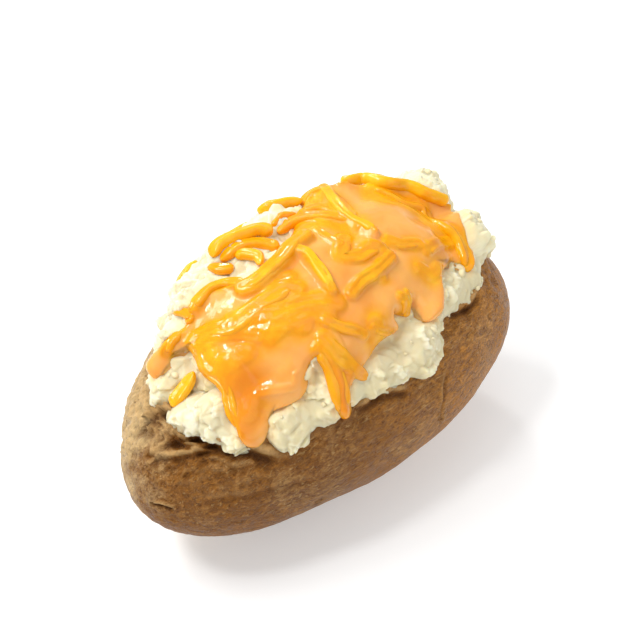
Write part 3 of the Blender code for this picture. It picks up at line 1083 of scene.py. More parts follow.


# A separate program worked out most of these routes from marks. They are data, not a design.
SHREDS = (
    Shred(((26, 28), (33, 29), (37, 19), (44, 14), (50, 6), (58, 1)), Melt.FIRM, 4.6, (0.6, 0.2, 0.0), 1),
    Shred(((34, 20), (40, 10), (50, 1), (51, -17), (52, -30), (50, -41)), Melt.MELTED, 4.4, node=2),
    Shred(((19, 28), (15, 13), (14, 2), (15, -5), (15, -10)), Melt.FIRM, 2.6, (0.5, 0.8, 0.4, 0.1), 3),
    Shred(((2, 39), (3, 37), (5, 34), (9, 32), (12, 29)), Melt.FIRM, 3.7, (0.3, 0.9, 0.9, 0.2), 4),
    Shred(((-20, 26), (-17, 28), (-14, 27), (-10, 25), (-6, 24), (-4, 20)), Melt.FIRM, 3.8,
          (0.3, 0.8, 1.1, 0.9, 0.4), 5),
    Shred(((-17, 20), (-15, 17), (-14, 12), (-16, 7)), Melt.FIRM, 2.9, (0.1, 0.5, 0.3), 6),
    Shred(((-23, 27), (-22, 22), (-20, 18)), Melt.SOFT, 3.0, node=7),
    Shred(((-36, 17), (-32, 17), (-28, 17), (-25, 13), (-23, 5)), Melt.SOFT, 3.2, (0.5, 0.2), 8),
    Shred(((-1, 6), (-6, 4), (-12, 1), (-16, 1), (-21, 1), (-24, 4)), Melt.SOFT, 4.6, (0.2, 0.5, 0.2), 9),
    Shred(((8, -4), (3, -10), (1, -14), (5, -17), (10, -18), (13, -20)), Melt.MELTED, 4.2, node=10),
    Shred(((-2, 22), (3, 22), (7, 18), (10, 12), (13, 6), (15, 1)), Melt.SOFT, 3.6, node=11),
    Shred(((-7, 1), (-6, -4), (-7, -11), (-8, -18), (-9, -24)), Melt.FIRM, 2.6, (0.3, 0.5, 0.4, 0.1), 12),
    Shred(((-45, 7), (-41, 3), (-37, -3), (-31, -6), (-24, -8), (-18, -10), (-16, -14)), Melt.MELTED, 5.2,
          node=13),
    Shred(((-20, -38), (-20, -47), (-18, -58), (-15, -67)), Melt.MELTED, 4.0, (0.2, 0.5), 14),
    Shred(((-57, 1), (-61, 1), (-66, 1), (-69, 1), (-71, 3)), Melt.FIRM, 3.2, node=15),
    Shred(((-16, -33), (-14, -39), (-11, -44), (-9, -48)), Melt.SOFT, 2.8, node=16),
    Shred(((-5, -30), (0, -28), (4, -28), (9, -27), (14, -25)), Melt.SOFT, 3.4, node=17),
    Shred(((30, -28), (38, -26), (49, -25)), Melt.MELTED, 3.6, node=18),
    Shred(((-20, 24), (-16, 23), (-13, 22), (-9, 19), (-7, 12)), Melt.SOFT, 3.5, (0.2, 0.4, 0.4, 0.2)),
    Shred(((-2, 26), (3, 27), (7, 25)), Melt.SOFT, 3.4),
    Shred(((12, 30), (16, 31), (19, 27), (18, 20)), Melt.SOFT, 3.0, (0.4, 0.4)),
    Shred(((8, 22), (12, 19), (14, 11), (16, 5)), Melt.SOFT, 3.0),
    Shred(((-23, 1), (-20, -3), (-17, -4), (-14, -7)), Melt.MELTED, 3.2),
    Shred(((-26, -15), (-20, -18), (-13, -24), (-10, -30)), Melt.MELTED, 4.6),
    Shred(((-36, -4), (-30, -14), (-25, -21), (-22, -27)), Melt.GONE, 5.0),
    Shred(((-31, -21), (-24, -22), (-18, -25), (-15, -32)), Melt.GONE, 4.5),
    Shred(((-48, 9), (-50, 3), (-53, -3), (-54, -7)), Melt.MELTED, 2.6, (0.3, 0.1)),
    Shred(((-54, -7), (-54, -19), (-57, -27), (-59, -33), (-60, -40)), Melt.MELTED, 3.4),
    Shred(((-48, -1), (-51, -8), (-46, -15), (-40, -18)), Melt.GONE, 4.5),
    Shred(((-48, -17), (-51, -27), (-55, -36)), Melt.GONE, 7.0),
    Shred(((-40, 29), (-39, 25), (-39, 21), (-40, 17), (-42, 18)), Melt.SOFT, 2.2),
    Shred(((-23, -41), (-24, -51), (-26, -60), (-28, -66), (-30, -70)), Melt.MELTED, 4.6),
    Shred(((-4, -47), (-5, -54)), Melt.GONE, 4.5),
    Shred(((9, -43), (10, -47), (9, -51)), Melt.SOFT, 2.6),
    Shred(((18, -17), (22, -21), (28, -24)), Melt.MELTED, 3.6),
    Shred(((23, -35), (27, -40), (33, -38)), Melt.GONE, 3.0),
    Shred(((4, 7), (4, 1), (4, -7)), Melt.SOFT, 2.2),
    Shred(((-53, 17), (-49, 17), (-45, 16)), Melt.SOFT, 2.6),
    Shred(((13, -22), (9, -26), (7, -31)), Melt.MELTED, 3.0),
    Shred(((20, 56), (28, 53), (36, 46)), Melt.FIRM, 3.4),
    Shred(((-12, 50), (-5, 56), (4, 58)), Melt.SOFT, 3.0),
    Shred(((-34, 46), (-29, 41), (-21, 39)), Melt.FIRM, 3.2),
    Shred(((44, 38), (50, 33), (58, 33)), Melt.SOFT, 3.2),
    Shred(((4, 72), (10, 68), (17, 70)), Melt.FIRM, 3.0),
    Shred(((-5, 14), (2, 17), (8, 15), (12, 8), (14, 1)), Melt.GONE, 6.0),
    Shred(((10, 26), (15, 27), (18, 22), (18, 15), (16, 8)), Melt.GONE, 5.0),
    Shred(((33, 17), (38, 6), (45, -3), (48, -14)), Melt.GONE, 6.0),
    Shred(((-5, -48), (-3, -51), (1, -55)), Melt.SOFT, 2.4),
    Shred(((12, -43), (11, -48), (10, -53)), Melt.SOFT, 2.0),
    Shred(((-8, 1), (-7, -4), (-8, -11), (-9, -17)), Melt.FOLD, 1.7),
    Shred(((-35, -5), (-31, -9), (-26, -17), (-24, -23), (-23, -28)), Melt.FOLD, 2.4),
    Shred(((-47, 3), (-43, -1), (-39, -6), (-36, -12), (-34, -18)), Melt.FOLD, 2.3),
    Shred(((-48, -36), (-44, -40), (-40, -44), (-37, -46), (-34, -43)), Melt.FOLD, 2.4),
    Shred(((-34, 0), (-30, -5), (-26, -12), (-22, -19)), Melt.FOLD, 2.0),
    Shred(((-17, -38), (-17, -43), (-18, -51)), Melt.FOLD, 1.7),
)


@dataclass(frozen=True)
class Mound:
    """A round cap over a place on the map.

    Its height is in millimetres for a swelling of the sauce, such as the
    bead at a drip's tip or a bubble, and a share from 0 to 1 for a spot of painted shade, a deeper orange.
    """

    across: float
    away: float
    radius: float
    height: float


@dataclass
class Heap:
    """Everything on top of the potato, as distances from the dome's middle on one shared map.

    Attributes:
        anchor: Middle of the potato's resting spot. The middles and clumps below count from it.
        potato: What the heap sits on.
        middle, radii: The dome of the map, in millimetres.
        core_centre, core_radii: The plain mass of flesh inside the clumps, in millimetres.
        clumps: What the heap's outline is made of.
        reach, cell: How far the map goes from its top, and the width of its cells, in degrees.
        blend: Width of the rounded creases between clumps.
        swell, swell_height: Width and height of gentle swellings all over the flesh.
        chunk, chunk_height: Width and height of the chunks that the flesh is broken into.
        tuck: How far the flesh draws in where it meets the skin.
        sauce_middle, sauce_rim: The poured middle and the outline of the sauce, as places.
        sauce_thick, rim_width: Thickness of the sauce and width of its rounded rim.
        wave, wave_height: Width and height of the waves on the sauce.
        fray, fray_width: Length and width of the fraying along the edges of the cheese's gold.
        fillet_slope: How steeply the sauce drops beside a shred.
        mounds, painted_shade_spots: Swellings of the sauce, and spots of painted shade, where its orange is
            deeper.
        ground_blur: How smooth the sauce's bed is, in cells.
        margin, shred_margin: How far round the rim or a mound, and round a shred, distances are worked
            out, in degrees.
        rim_steps, shred_steps: Points along the sauce's outline and along each shred.
    """

    anchor: Array
    potato: Potato
    middle: tuple[float, float, float] = (0.0, -3.0, 40.0)
    radii: tuple[float, float, float] = (46.0, 27.0, 27.0)
    core_centre: tuple[float, float, float] = (0.0, -1.5, 45.0)
    core_radii: tuple[float, float, float] = (44.5, 27.5, 25.3)
    clumps: tuple[Clump, ...] = (
        Clump(-46, -7, 46, 6.0), Clump(-43, -12, 47.5, 5.6), Clump(-43.5, -11.5, 50, 4.6),
        Clump(-39, -16, 45, 6.8), Clump(-33, -22, 43.5, 6.3),
        Clump(-28, -22, 44, 6.8), Clump(-22, -24, 44, 6.6),
        Clump(-17, -24, 48, 7.3), Clump(-4, -26, 46, 7.6), Clump(9, -27, 47, 8.4),
        Clump(23, -19, 50, 8.4), Clump(36, -18, 47, 7.4), Clump(46, -10.5, 50, 8.6),
        Clump(46.2, 5.5, 54, 9.6), Clump(33, 9, 56.5, 9.4), Clump(18, 12, 60, 9.0),
        Clump(2, 13, 61, 9.6), Clump(-13, 11, 61.5, 9.4), Clump(-25, 9, 59.5, 8.8),
        Clump(-34, 7, 54, 8.0), Clump(-40, 5, 48, 6.6), Clump(-44, 2, 47.5, 4.0), Clump(-25, 18, 46, 8.0),
        Clump(-10, 25, 46, 8.5), Clump(7, 28, 46, 8.5), Clump(24, 25, 46, 8.5),
        Clump(39, 15, 46, 8.1), Clump(-18, 22, 47, 7.2), Clump(-2, 26, 48, 7.4), Clump(15, 26, 47.5, 7.8),
        Clump(32, 20, 48, 8.0), Clump(47, 8, 46.5, 7.0), Clump(50, -3, 46, 7.4), Clump(30, -18, 48, 7.2),
        Clump(40, -14, 48, 7.2), Clump(16, -23, 48, 7.4), Clump(2, -26, 46, 7.2), Clump(-11, -25, 46, 6.8),
        Clump(17, -19, 52, 6.2), Clump(29.5, -22.3, 48.3, 5.9), Clump(35, -20, 47.5, 5.8),
        Clump(-20, 17.5, 53.5, 6.6), Clump(-3, 20.5, 54.5, 6.6), Clump(13, 20.5, 54.5, 6.8),
        Clump(29, 17, 53, 6.8), Clump(42, 9, 51, 6.6),
    )
    reach: float = 112.0
    cell: float = 0.5
    blend: float = 2.4 * MM
    swell: float = 11.0 * MM
    swell_height: float = 1.7 * MM
    chunk: float = 5.6 * MM
    chunk_height: float = 1.2 * MM
    tuck: float = 1.6 * MM
    sauce_middle: tuple[float, float] = (-10.0, -20.0)
    # A separate program worked out nearly all of sauce_rim, the mounds and a few near clumps from marks.
    # They are data, not a design.
    sauce_rim: tuple[tuple[float, float], ...] = (
        (-34, 21), (-38, 21), (-41, 18), (-45, 18), (-48, 20), (-52, 22), (-57, 29), (-61, 30), (-63, 22),
        (-64, 17), (-62, 16), (-58, 16), (-54, 16), (-52, 13), (-51, 10), (-53, 6), (-56, 0), (-58, -7),
        (-57, -16), (-57, -23), (-59, -29), (-60, -36), (-61, -40), (-63, -45), (-64, -49), (-63, -52),
        (-61, -54), (-57, -53), (-55, -51), (-53, -48), (-50, -48), (-45, -51), (-41, -53), (-38, -53),
        (-35, -51), (-33, -47), (-30, -44), (-28, -43), (-26, -43), (-26, -46), (-27, -51), (-28, -55),
        (-29, -60), (-30, -65), (-31, -69), (-31, -74), (-28, -76), (-26, -73), (-25, -68), (-24, -65),
        (-21, -63), (-17, -62), (-14, -61), (-10, -60), (-5, -58), (0, -57), (5, -57), (6, -54), (5, -50),
        (6, -48), (9, -51), (11, -53), (13, -50), (15, -48), (15, -51), (15, -56), (15, -59), (18, -60),
        (23, -59), (27, -56), (29, -51), (31, -46), (35, -41), (41, -38), (46, -36), (49, -38), (49, -42),
        (50, -44), (54, -40), (55, -35), (54, -30), (54, -23), (55, -15), (61, -2), (53, 3), (47, 11),
        (40, 17), (35, 23), (31, 26), (26, 27), (23, 32), (21, 40), (18, 42), (15, 36), (12, 29), (7, 25),
        (3, 20), (-3, 14), (-10, 7), (-14, 6), (-18, 8), (-22, 10), (-25, 13), (-29, 16), (-32, 19),
    )
    sauce_thick: float = 2.2 * MM
    rim_width: float = 2.3 * MM
    wave: float = 10.0 * MM
    wave_height: float = 0.4 * MM
    fray: float = 5.0 * MM
    fray_width: float = 0.5 * MM
    fillet_slope: float = 1.6
    ground_blur: float = 5.5
    margin: float = 14.0
    shred_margin: float = 12.0
    mounds: tuple[Mound, ...] = (
        Mound(-60, -49, 3.0, 1.0), Mound(-29, -72, 2.4, 1.0), Mound(22, -57, 3.2, 1.0),
        Mound(-60, 20, 2.6, 0.8), Mound(10.4, -14.6, 1.9, 2.4), Mound(12.4, -17.9, 1.4, 1.5),
        Mound(50, -39, 2.4, 0.7),
    )
    # Painted shade: spots where the sauce turns a deeper orange.
    painted_shade_spots: tuple[Mound, ...] = (
        Mound(-52, -32, 5.5, 0.75), Mound(-46, -26, 5.0, 0.6), Mound(-58, -42, 4.0, 0.5),
        Mound(-25, -56, 4.5, 0.8), Mound(-28, -66, 4.0, 0.7), Mound(-38, -10, 3.0, 0.6),
        Mound(-20, -30, 4.0, 0.4), Mound(-2, -20, 3.0, 0.4), Mound(-12, -36, 3.5, 0.4),
        Mound(40, -30, 4.0, 0.4), Mound(51, -20, 4.5, 0.4), Mound(47, 4, 4.0, 0.35),
    )
    shreds: tuple[Shred, ...] = SHREDS
    rim_steps: int = 560
    shred_steps: int = 64

    def rays(self, across: Array, away: Array) -> Array:
        """Rays out of the dome for places on the map, in metres, as long as the dome's radii.

        Args:
            across, away: Coordinates of the places, in degrees.

        Returns:
            One ray for each place.
        """
        down = np.radians(np.hypot(across, away))
        turn = np.arctan2(away, across)
        unit_ray = np.stack([np.sin(down) * np.cos(turn), np.sin(down) * np.sin(turn), np.cos(down)], axis=-1)
        return unit_ray * np.array(self.radii) * MM

    @cached_property
    def centre(self) -> Array:
        """The dome's middle in metres."""
        return self.anchor + np.array(self.middle) * MM

    def places(self, points: Array) -> tuple[Array, Array]:
        """The places on the map that points in space lie over.

        Args:
            points: Points in metres, shape (..., 3).

        Returns:
            Their coordinates on the map, in degrees.
        """
        ray = unit((points - self.centre) / np.array(self.radii))
        down = np.degrees(np.arccos(np.clip(ray[..., 2], -1, 1)))
        turn = np.arctan2(ray[..., 1], ray[..., 0])
        return down * np.cos(turn), down * np.sin(turn)

    def points(self, across: Array, away: Array, distance: Array) -> Array:
        """Points in space at a distance from the dome's middle over places on the map."""
        return self.centre + unit(self.rays(across, away)) * distance[..., None]

    @cached_property
    def grid(self) -> tuple[Array, Array]:
        """The map's own places."""
        axis = np.arange(-self.reach, self.reach + self.cell / 2, self.cell)
        return tuple(np.meshgrid(axis, axis, indexing="ij"))

    def sample(self, values: Array, across: Array, away: Array) -> Array:
        """Values of a map between its own places, blended from the four round each.

        Args:
            values: A map, with a value for each of its own places.
            across, away: Coordinates of the places to read, in degrees.

        Returns:
            One value for each place that is read.
        """
        u = np.clip((across + self.reach) / self.cell, 0, values.shape[0] - 1.001)
        v = np.clip((away + self.reach) / self.cell, 0, values.shape[1] - 1.001)
        i, j = u.astype(int), v.astype(int)
        s, t = u - i, v - j
        near = values[i, j] * (1 - t) + values[i, j + 1] * t
        far = values[i + 1, j] * (1 - t) + values[i + 1, j + 1] * t
        return near * (1 - s) + far * s

    def exit_distance(self, ray: Array, centre: Array, radii: Array) -> Array:
        """Distance at which rays from the dome's middle leave an ellipsoid, or 0 where they miss it.

        Args:
            ray: Rays, shape (..., 3).
            centre: Middle of the ellipsoid from the anchor, in metres.
            radii: Its half sizes, in metres.

        Returns:
            One distance in metres for each ray.
        """
        start = (self.centre - centre - self.anchor) / radii
        step = unit(ray) / radii
        half = step @ start
        square = half**2 - np.sum(step * step, axis=-1) * (start @ start - 1)
        far = (np.sqrt(np.maximum(square, 0)) - half) / np.sum(step * step, axis=-1)
        return np.where(square > 0, far, 0.0)

    @cached_property
    def smooth_flesh(self) -> Array:
        """Distance to the heap's clumps, run together with rounded creases."""
        ray = self.rays(*self.grid)
        total = self.exit_distance(ray, np.array(self.core_centre) * MM, np.array(self.core_radii) * MM)
        for clump in self.clumps:
            total = smooth_max(total, self.exit_distance(ray, clump.centre, clump.radii), self.blend)
        swelling = layered_noise(self.points(*self.grid, total), self.swell, seed=51, layers=2)
        return total + swelling * self.swell_height

    @cached_property
    def flesh(self) -> Array:
        """Distance to the flesh broken into chunks, tucked in under the skin where it meets it."""
        height, _ = crumbled(self.points(*self.grid, self.smooth_flesh), self.chunk, seed=5, crease=0.35)
        broken = self.smooth_flesh + height * self.chunk_height
        below_rim = 1 - smooth_step(broken - self.skin, 0.0, 0.9 * MM)
        return broken - self.tuck * below_rim

    @cached_property
    def skin(self) -> Array:
        """Distance to the potato's skin, found by halving the span between a near and a far guess."""
        halvings = 18
        near = np.full(self.grid[0].shape, 5 * MM)
        far = np.full_like(near, 90 * MM)
        for _ in range(halvings):
            middle = (near + far) / 2
            inside = self.potato.reach_of(self.points(*self.grid, middle) - self.anchor) < 1
            near = np.where(inside, middle, near)
            far = np.where(inside, far, middle)
        return near

    @cached_property
    def ground(self) -> Array:
        """Distance to what the sauce runs over: flesh or skin, evened out over a few millimetres."""
        return blurred(np.maximum(self.flesh, self.skin + 0.2 * MM), self.ground_blur)

    @cached_property
    def ground_points(self) -> Array:
        """The ground's points in space."""
        return self.points(*self.grid, self.ground)

    @cached_property
    def sauce_outline(self) -> Array:
        """Closed outline of the sauce on the map."""
        return curve_through(np.array(self.sauce_rim, dtype=float), self.rim_steps, closed=True)

    def distance_to(self, route: Array, margin: float) -> tuple[Array, Array]:
        """Distance over the ground from every place of the map to a line of places.

        Args:
            route: Places along the line.
            margin: How far round the line to work it out, in degrees. Further off it counts as far.

        Returns:
            Distance in metres, and the share of the line at the point nearest each place.
        """
        distance = np.full(self.grid[0].shape, 1.0)
        along = np.zeros_like(distance)
        spans = np.stack([route.min(axis=0) - margin, route.max(axis=0) + margin], axis=1)
        cells = np.clip(((spans + self.reach) / self.cell).astype(int), 0, None)
        rows, columns = (slice(*pair) for pair in cells)
        here = self.ground_points[rows, columns]
        best = distance[rows, columns]
        share = along[rows, columns]
        line = self.points(*apart(route), self.sample(self.ground, *apart(route)))
        for number, point in enumerate(line):
            away_from = np.sum((here - point) ** 2, axis=-1)
            nearer = away_from < best
            best[nearer] = away_from[nearer]
            share[nearer] = number / max(len(line) - 1, 1)
        distance[rows, columns] = np.sqrt(best)
        return distance, along

    @cached_property
    def sauce_depth(self) -> Array:
        """Distance inside the sauce's outline over the ground in metres, negative outside it."""
        across, away = self.grid
        outline = self.sauce_outline
        inside = np.zeros(across.shape, dtype=bool)
        for (x0, y0), (x1, y1) in zip(outline, np.roll(outline, -1, axis=0)):
            spans = (y0 > away) != (y1 > away)
            crossing = x0 + (away - y0) / (y1 - y0 if y1 != y0 else 1.0) * (x1 - x0)
            inside ^= spans & (across < crossing)
        distance, _ = self.distance_to(outline, self.margin)
        return np.where(inside, distance, -distance)

    @cached_property
    def shred_lines(self) -> list[Array]:
        """Every shred's middle line on the map."""
        return [curve_through(np.array(shred.route, dtype=float), self.shred_steps) for shred in self.shreds]

    @cached_property
    def shred_fields(self) -> list[tuple[Array, Array]]:
        """Distance to each shred's middle line and the share of its length, over the map."""
        return [self.distance_to(line, self.shred_margin) for line in self.shred_lines]

    @cached_property
    def gold(self) -> Array:
        """How much melted cheese there is at each place of the map, from 0 to 1."""
        total = np.zeros(self.grid[0].shape)
        sway = layered_noise(self.ground_points, self.fray, seed=301, layers=2) * self.fray_width
        for shred, (distance, _) in zip(self.shreds, self.shred_fields):
            edge = distance - shred.half + sway
            reach = 1 - smooth_step(edge, -0.4 * MM, shred.melt.value.bleed)
            total = np.maximum(total, reach * shred.melt.value.golden)
        return total

    @cached_property
    def deep(self) -> Array:
        """How much painted shade, as a deeper orange, the sauce has at each place of the map, from 0 to 1."""
        return sum(spot.height * self.cap(spot) for spot in self.painted_shade_spots)

    def cap(self, spot: Mound) -> Array:
        """How far up a mound each place of the map is: 1 in its middle, fading at its feet."""
        distance, _ = self.distance_to(np.array([[spot.across, spot.away]]), self.margin)
        return np.exp(-((distance / (spot.radius * MM)) ** 2 * 1.1))

    @cached_property
    def bare_sauce(self) -> Array:
        """Distance to the sauce's top without the shreds in it.

        The rim is a quarter round as wide as rim_width. Mounds are round caps that fade at their feet.
        """
        share = np.clip(self.sauce_depth / self.rim_width, 0.0, 1.0)
        rim = np.sqrt(1 - (1 - share) ** 2)
        waves = layered_noise(self.ground_points, self.wave, seed=91, layers=2) * self.wave_height * share
        total = self.ground + self.sauce_thick * rim + waves
        for mound in self.mounds:
            total += mound.height * MM * self.cap(mound) * rim
        return total

    @cached_property
    def bed(self) -> dict[float, Array]:
        """Distance to what shreds settle on, evened out over as many degrees as each kind needs."""
        top = np.where(self.sauce_depth > 0, self.bare_sauce, self.ground)
        return {melt.value.settle: blurred(top, melt.value.settle / self.cell) for melt in Melt}

    @cached_property
    def sauce(self) -> Array:
        """Distance to the sauce's top, with a fillet up the side of each shred that lies in it."""
        total = self.bare_sauce.copy()
        for shred, (distance, along) in zip(self.shreds, self.shred_fields):
            lie = shred.melt.value
            across_it = np.clip(distance / shred.half, 0, 1)
            bulge = shred.thick / 2 * np.sqrt(1 - across_it**2) * ribbed(across_it)
            drop = np.maximum(distance - shred.half, 0) * self.fillet_slope
            middle = self.bed[lie.settle] + shred.thick * lie.sink + shred.rise_at(along)
            total = smooth_max(total, middle + bulge - drop - 0.07 * MM, lie.meet)
        fading = smooth_step(self.sauce_depth, 0.0, self.rim_width)
        return self.bare_sauce + (total - self.bare_sauce) * fading


@dataclass
class Flesh:
    """The fluffed flesh: facets and creases over the heap's chunks, and loose crumbs.

    Where it is fluffy, it stands up by its puff and has fine facets. Elsewhere it is smooth and glassy.
    lowest and crumb_band are in degrees of the map, heights in millimetres and all other lengths in
    metres.
    """

    heap: Heap
    rings: int = 220
    columns: int = 760
    lowest: float = 104.0
    facet_size: float = 4.0 * MM
    facet_height: float = 0.5
    fine_size: float = 1.5 * MM
    patch_size: float = 7.0 * MM
    press: float = 0.9 * MM
    crumb_band: tuple[float, float] = (45.0, 76.0)
    crumb_least: float = 0.5 * MM
    crumb_spread: float = 0.9 * MM

    def build(self) -> list[bpy.types.Object]:
        """The heap's surface and the crumbs on it."""
        return [self.build_surface(), self.build_crumbs()]

    def build_surface(self) -> bpy.types.Object:
        """The heap, from its top down to where it goes inside the potato.

        Returns:
            The heap, named and dressed.
        """
        heap = self.heap
        down = np.linspace(0, 1, self.rings)[:, None] ** 0.8 * self.lowest
        turn = full_turn(self.columns)
        across, away = down * np.cos(turn), down * np.sin(turn)
        base = heap.points(across, away, heap.sample(heap.flesh, across, away))
        facet, crease = crumbled(base, self.facet_size, seed=7, crease=0.2)
        fine, fine_crease = crumbled(base, self.fine_size, seed=8, crease=0.4)
        lift = heap.sample(heap.flesh - heap.skin, across, away)
        near_skin = 1 - smooth_step(lift, 1 * MM, 9 * MM)
        patch = layered_noise(base, self.patch_size, seed=71, layers=4) - 0.9 * near_skin
        fluffy = smooth_step(patch, -0.36, -0.24)
        fine_height = 0.03 + 0.2 * fluffy
        puff = 0.7 * fluffy
        height = (facet * self.facet_height + fine * fine_height + puff) * MM
        shift = noise_vectors(base, 4.5 * MM, (12, 22, 32))
        points = base + unit(base - heap.centre) * height[..., None] + shift * 0.35 * MM
        points, depth = self.under_sauce(points)
        points[-1] = heap.centre
        # hollow sets the glassy colour: the flesh's own glassy look where it isn't fluffy, and painted shade
        # in creases and on low facets.
        creased = crease * 0.2 + fine_crease * fluffy * 0.15
        hollow = np.clip(creased - facet * 0.15 + 0.75 * (1 - fluffy), 0, 1)
        stain = smooth_step(depth, -2.6 * MM, 0.0)
        obj = closed_mesh("fluffed_flesh", points, {"hollow": hollow, "stain": stain})
        FLESH.dress(obj)
        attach(obj, BODY)
        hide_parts("flesh")
        return obj

    def under_sauce(self, points: Array) -> tuple[Array, Array]:
        """Points pressed down to stay clear under the sauce that covers them.

        Args:
            points: Points of the flesh, in metres, shape (..., 3).

        Returns:
            The points, and how far inside the sauce's outline each lies, in metres.
        """
        heap = self.heap
        across, away = heap.places(points)
        depth = heap.sample(heap.sauce_depth, across, away)
        limit = heap.sample(heap.bare_sauce, across, away) - self.press
        out = points - heap.centre
        distance = np.linalg.norm(out, axis=-1)
        pressed = np.where(depth > 0.5 * MM, np.minimum(distance, limit), distance)
        return heap.centre + out * (pressed / distance)[..., None], depth

    def build_crumbs(self, count: int = 110) -> bpy.types.Object:
        """Loose crumbs: uneven little balls of 32 faces, scattered over the flanks of the heap.

        Args:
            count: Number of crumbs before those under the sauce are left out.

        Returns:
            The crumbs as one piece.
        """
        rng = np.random.default_rng(77)
        turn = rng.uniform(0, 2 * math.pi, count)
        down = rng.uniform(*self.crumb_band, count)
        across, away = down * np.cos(turn), down * np.sin(turn)
        distance = self.heap.sample(self.heap.flesh, across, away)
        size = self.crumb_least + self.crumb_spread * rng.random(count) ** 2
        middle = self.heap.points(across, away, distance + rng.uniform(-0.7, -0.1, count) * size)
        keep = self.heap.sample(self.heap.sauce_depth, across, away) < -0.2 * MM
        obj = scattered_balls("flesh_crumbs", middle[keep], size[keep], rng)
        for label in ("hollow", "stain"):
            add_layer(obj, label, np.full(len(obj.data.vertices), 0.35))
        CRUMBS.dress(obj)
        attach(obj, BODY)
        return obj


def scattered_balls(name: str, middles: Array, sizes: Array, rng: np.random.Generator) -> bpy.types.Object:
    """One mesh of many uneven balls, each an octahedron split once and pushed in and out at random.

    Args:
        name: Name of the piece.
        middles: Middle of each ball, shape (n, 3).
        sizes: Radius of each ball.
        rng: Source of the unevenness.

    Returns:
        The joined object.
    """
    corners, faces = round_octahedron()
    stretch = rng.uniform(0.7, 1.3, size=(len(middles), 1, 3))
    uneven = rng.uniform(0.8, 1.15, size=(len(middles), len(corners), 1))
    spin = random_turns(len(middles), rng)
    local = np.einsum("nij,nkj->nki", spin, corners * stretch * uneven)
    points = middles[:, None] + local * sizes[:, None, None]
    offset = np.arange(len(middles))[:, None, None] * len(corners)
    return mesh_of(name, points.reshape(-1, 3), [(faces[None] + offset).reshape(-1, 3)])


def round_octahedron() -> tuple[Array, Array]:
    """Corners and faces of an octahedron whose faces are split in four and pushed out to a ball.

    Returns:
        Corners, shape (18, 3), and faces, shape (32, 3).
    """
    corners = [(1, 0, 0), (-1, 0, 0), (0, 1, 0), (0, -1, 0), (0, 0, 1), (0, 0, -1)]
    faces = [(0, 2, 4), (2, 1, 4), (1, 3, 4), (3, 0, 4), (2, 0, 5), (1, 2, 5), (3, 1, 5), (0, 3, 5)]
    middle: dict[tuple[int, int], int] = {}
    split = []
    for a, b, c in faces:
        mids = []
        for pair in ((a, b), (b, c), (c, a)):
            key = (min(pair), max(pair))
            if key not in middle:
                middle[key] = len(corners)
                corners.append(tuple((p + q) / 2 for p, q in zip(corners[pair[0]], corners[pair[1]])))
            mids.append(middle[key])
        ab, bc, ca = mids
        split += [(a, ab, ca), (ab, b, bc), (ca, bc, c), (ab, bc, ca)]
    return unit(np.array(corners, dtype=float)), np.array(split)


def random_turns(count: int, rng: np.random.Generator) -> Array:
    """Random rotation matrices, from random unit quaternions.

    Args:
        count: Number of matrices.
        rng: Source of the turns.

    Returns:
        Matrices, shape (count, 3, 3).
    """
    w, x, y, z = unit(rng.normal(size=(count, 4))).T
    rows = [
        1 - 2 * (y * y + z * z), 2 * (x * y - w * z), 2 * (x * z + w * y),
        2 * (x * y + w * z), 1 - 2 * (x * x + z * z), 2 * (y * z - w * x),
        2 * (x * z - w * y), 2 * (y * z + w * x), 1 - 2 * (x * x + y * y),
    ]
    return np.stack(rows, axis=-1).reshape(count, 3, 3)


@dataclass
class Sauce:
    """The poured sauce, with its rounded rim and drips."""

    heap: Heap
    rings: int = 130
    columns: int = 680
    under_rings: int = 12
    skirt: tuple[float, ...] = (0.5, 1.2, 2.0)
    under_depth: float = 2.2 * MM
    rounding: float = 0.22

    def places(self, share: Array) -> Array:
        """Places on the map at shares of the way from the poured middle to the outline.

        The outline is smoothed more and more on the way in, by weakening its finer waves, so that the
        rings run out of the drips and turn into ovals.

        Args:
            share: Shares from 0 at the middle to 1 at the outline.

        Returns:
            Places, shape (shares, columns, 2).
        """
        heap = self.heap
        outline = curve_through(heap.sauce_outline, self.columns, closed=True)
        middle = np.array(heap.sauce_middle)
        waves = np.fft.rfft(outline - middle, axis=0)
        order = np.arange(len(waves))[:, None]
        rings = []
        for value in share:
            fade = np.exp(-((order * (1 - value) * self.rounding) ** 2))
            rings.append(middle + np.fft.irfft(waves * fade, self.columns, axis=0) * value)
        return np.array(rings)

    def build(self) -> bpy.types.Object:
        """The sauce as a closed lens: its top, its rim, and an underside inside the flesh.

        Rings of the top lie at sin(t) of the way from the poured middle to the outline, so that they
        crowd together at the rim, where the surface turns down.

        Returns:
            The sauce, named and dressed.
        """
        heap = self.heap
        place = self.places(np.sin(np.linspace(0, math.pi / 2, self.rings)))
        outline = place[-1]
        base = heap.sample(heap.ground, *apart(outline))
        distance = heap.sample(heap.sauce, *apart(place))
        distance[-1] = base
        top = heap.points(*apart(place), distance)
        skirt = np.array([heap.points(*apart(outline), base - depth * MM) for depth in self.skirt])
        inward = self.places(np.linspace(0.985, 0.0, self.under_rings))
        bottom = heap.points(*apart(inward), heap.sample(heap.ground, *apart(inward)) - self.under_depth)
        grid = np.concatenate([top, skirt, bottom])
        layers = {"gold": np.zeros(grid.shape[:2]), "deep": np.zeros(grid.shape[:2])}
        # deep carries the sauce's painted shade, a deeper orange in spots.
        for label, values in (("gold", heap.gold), ("deep", heap.deep)):
            layers[label][: self.rings] = heap.sample(values, *apart(place))
        obj = closed_mesh("cheese_sauce_pour", grid, layers)
        SAUCE.dress(obj)
        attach(obj, BODY)
        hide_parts("cheese_sauce")
        return obj


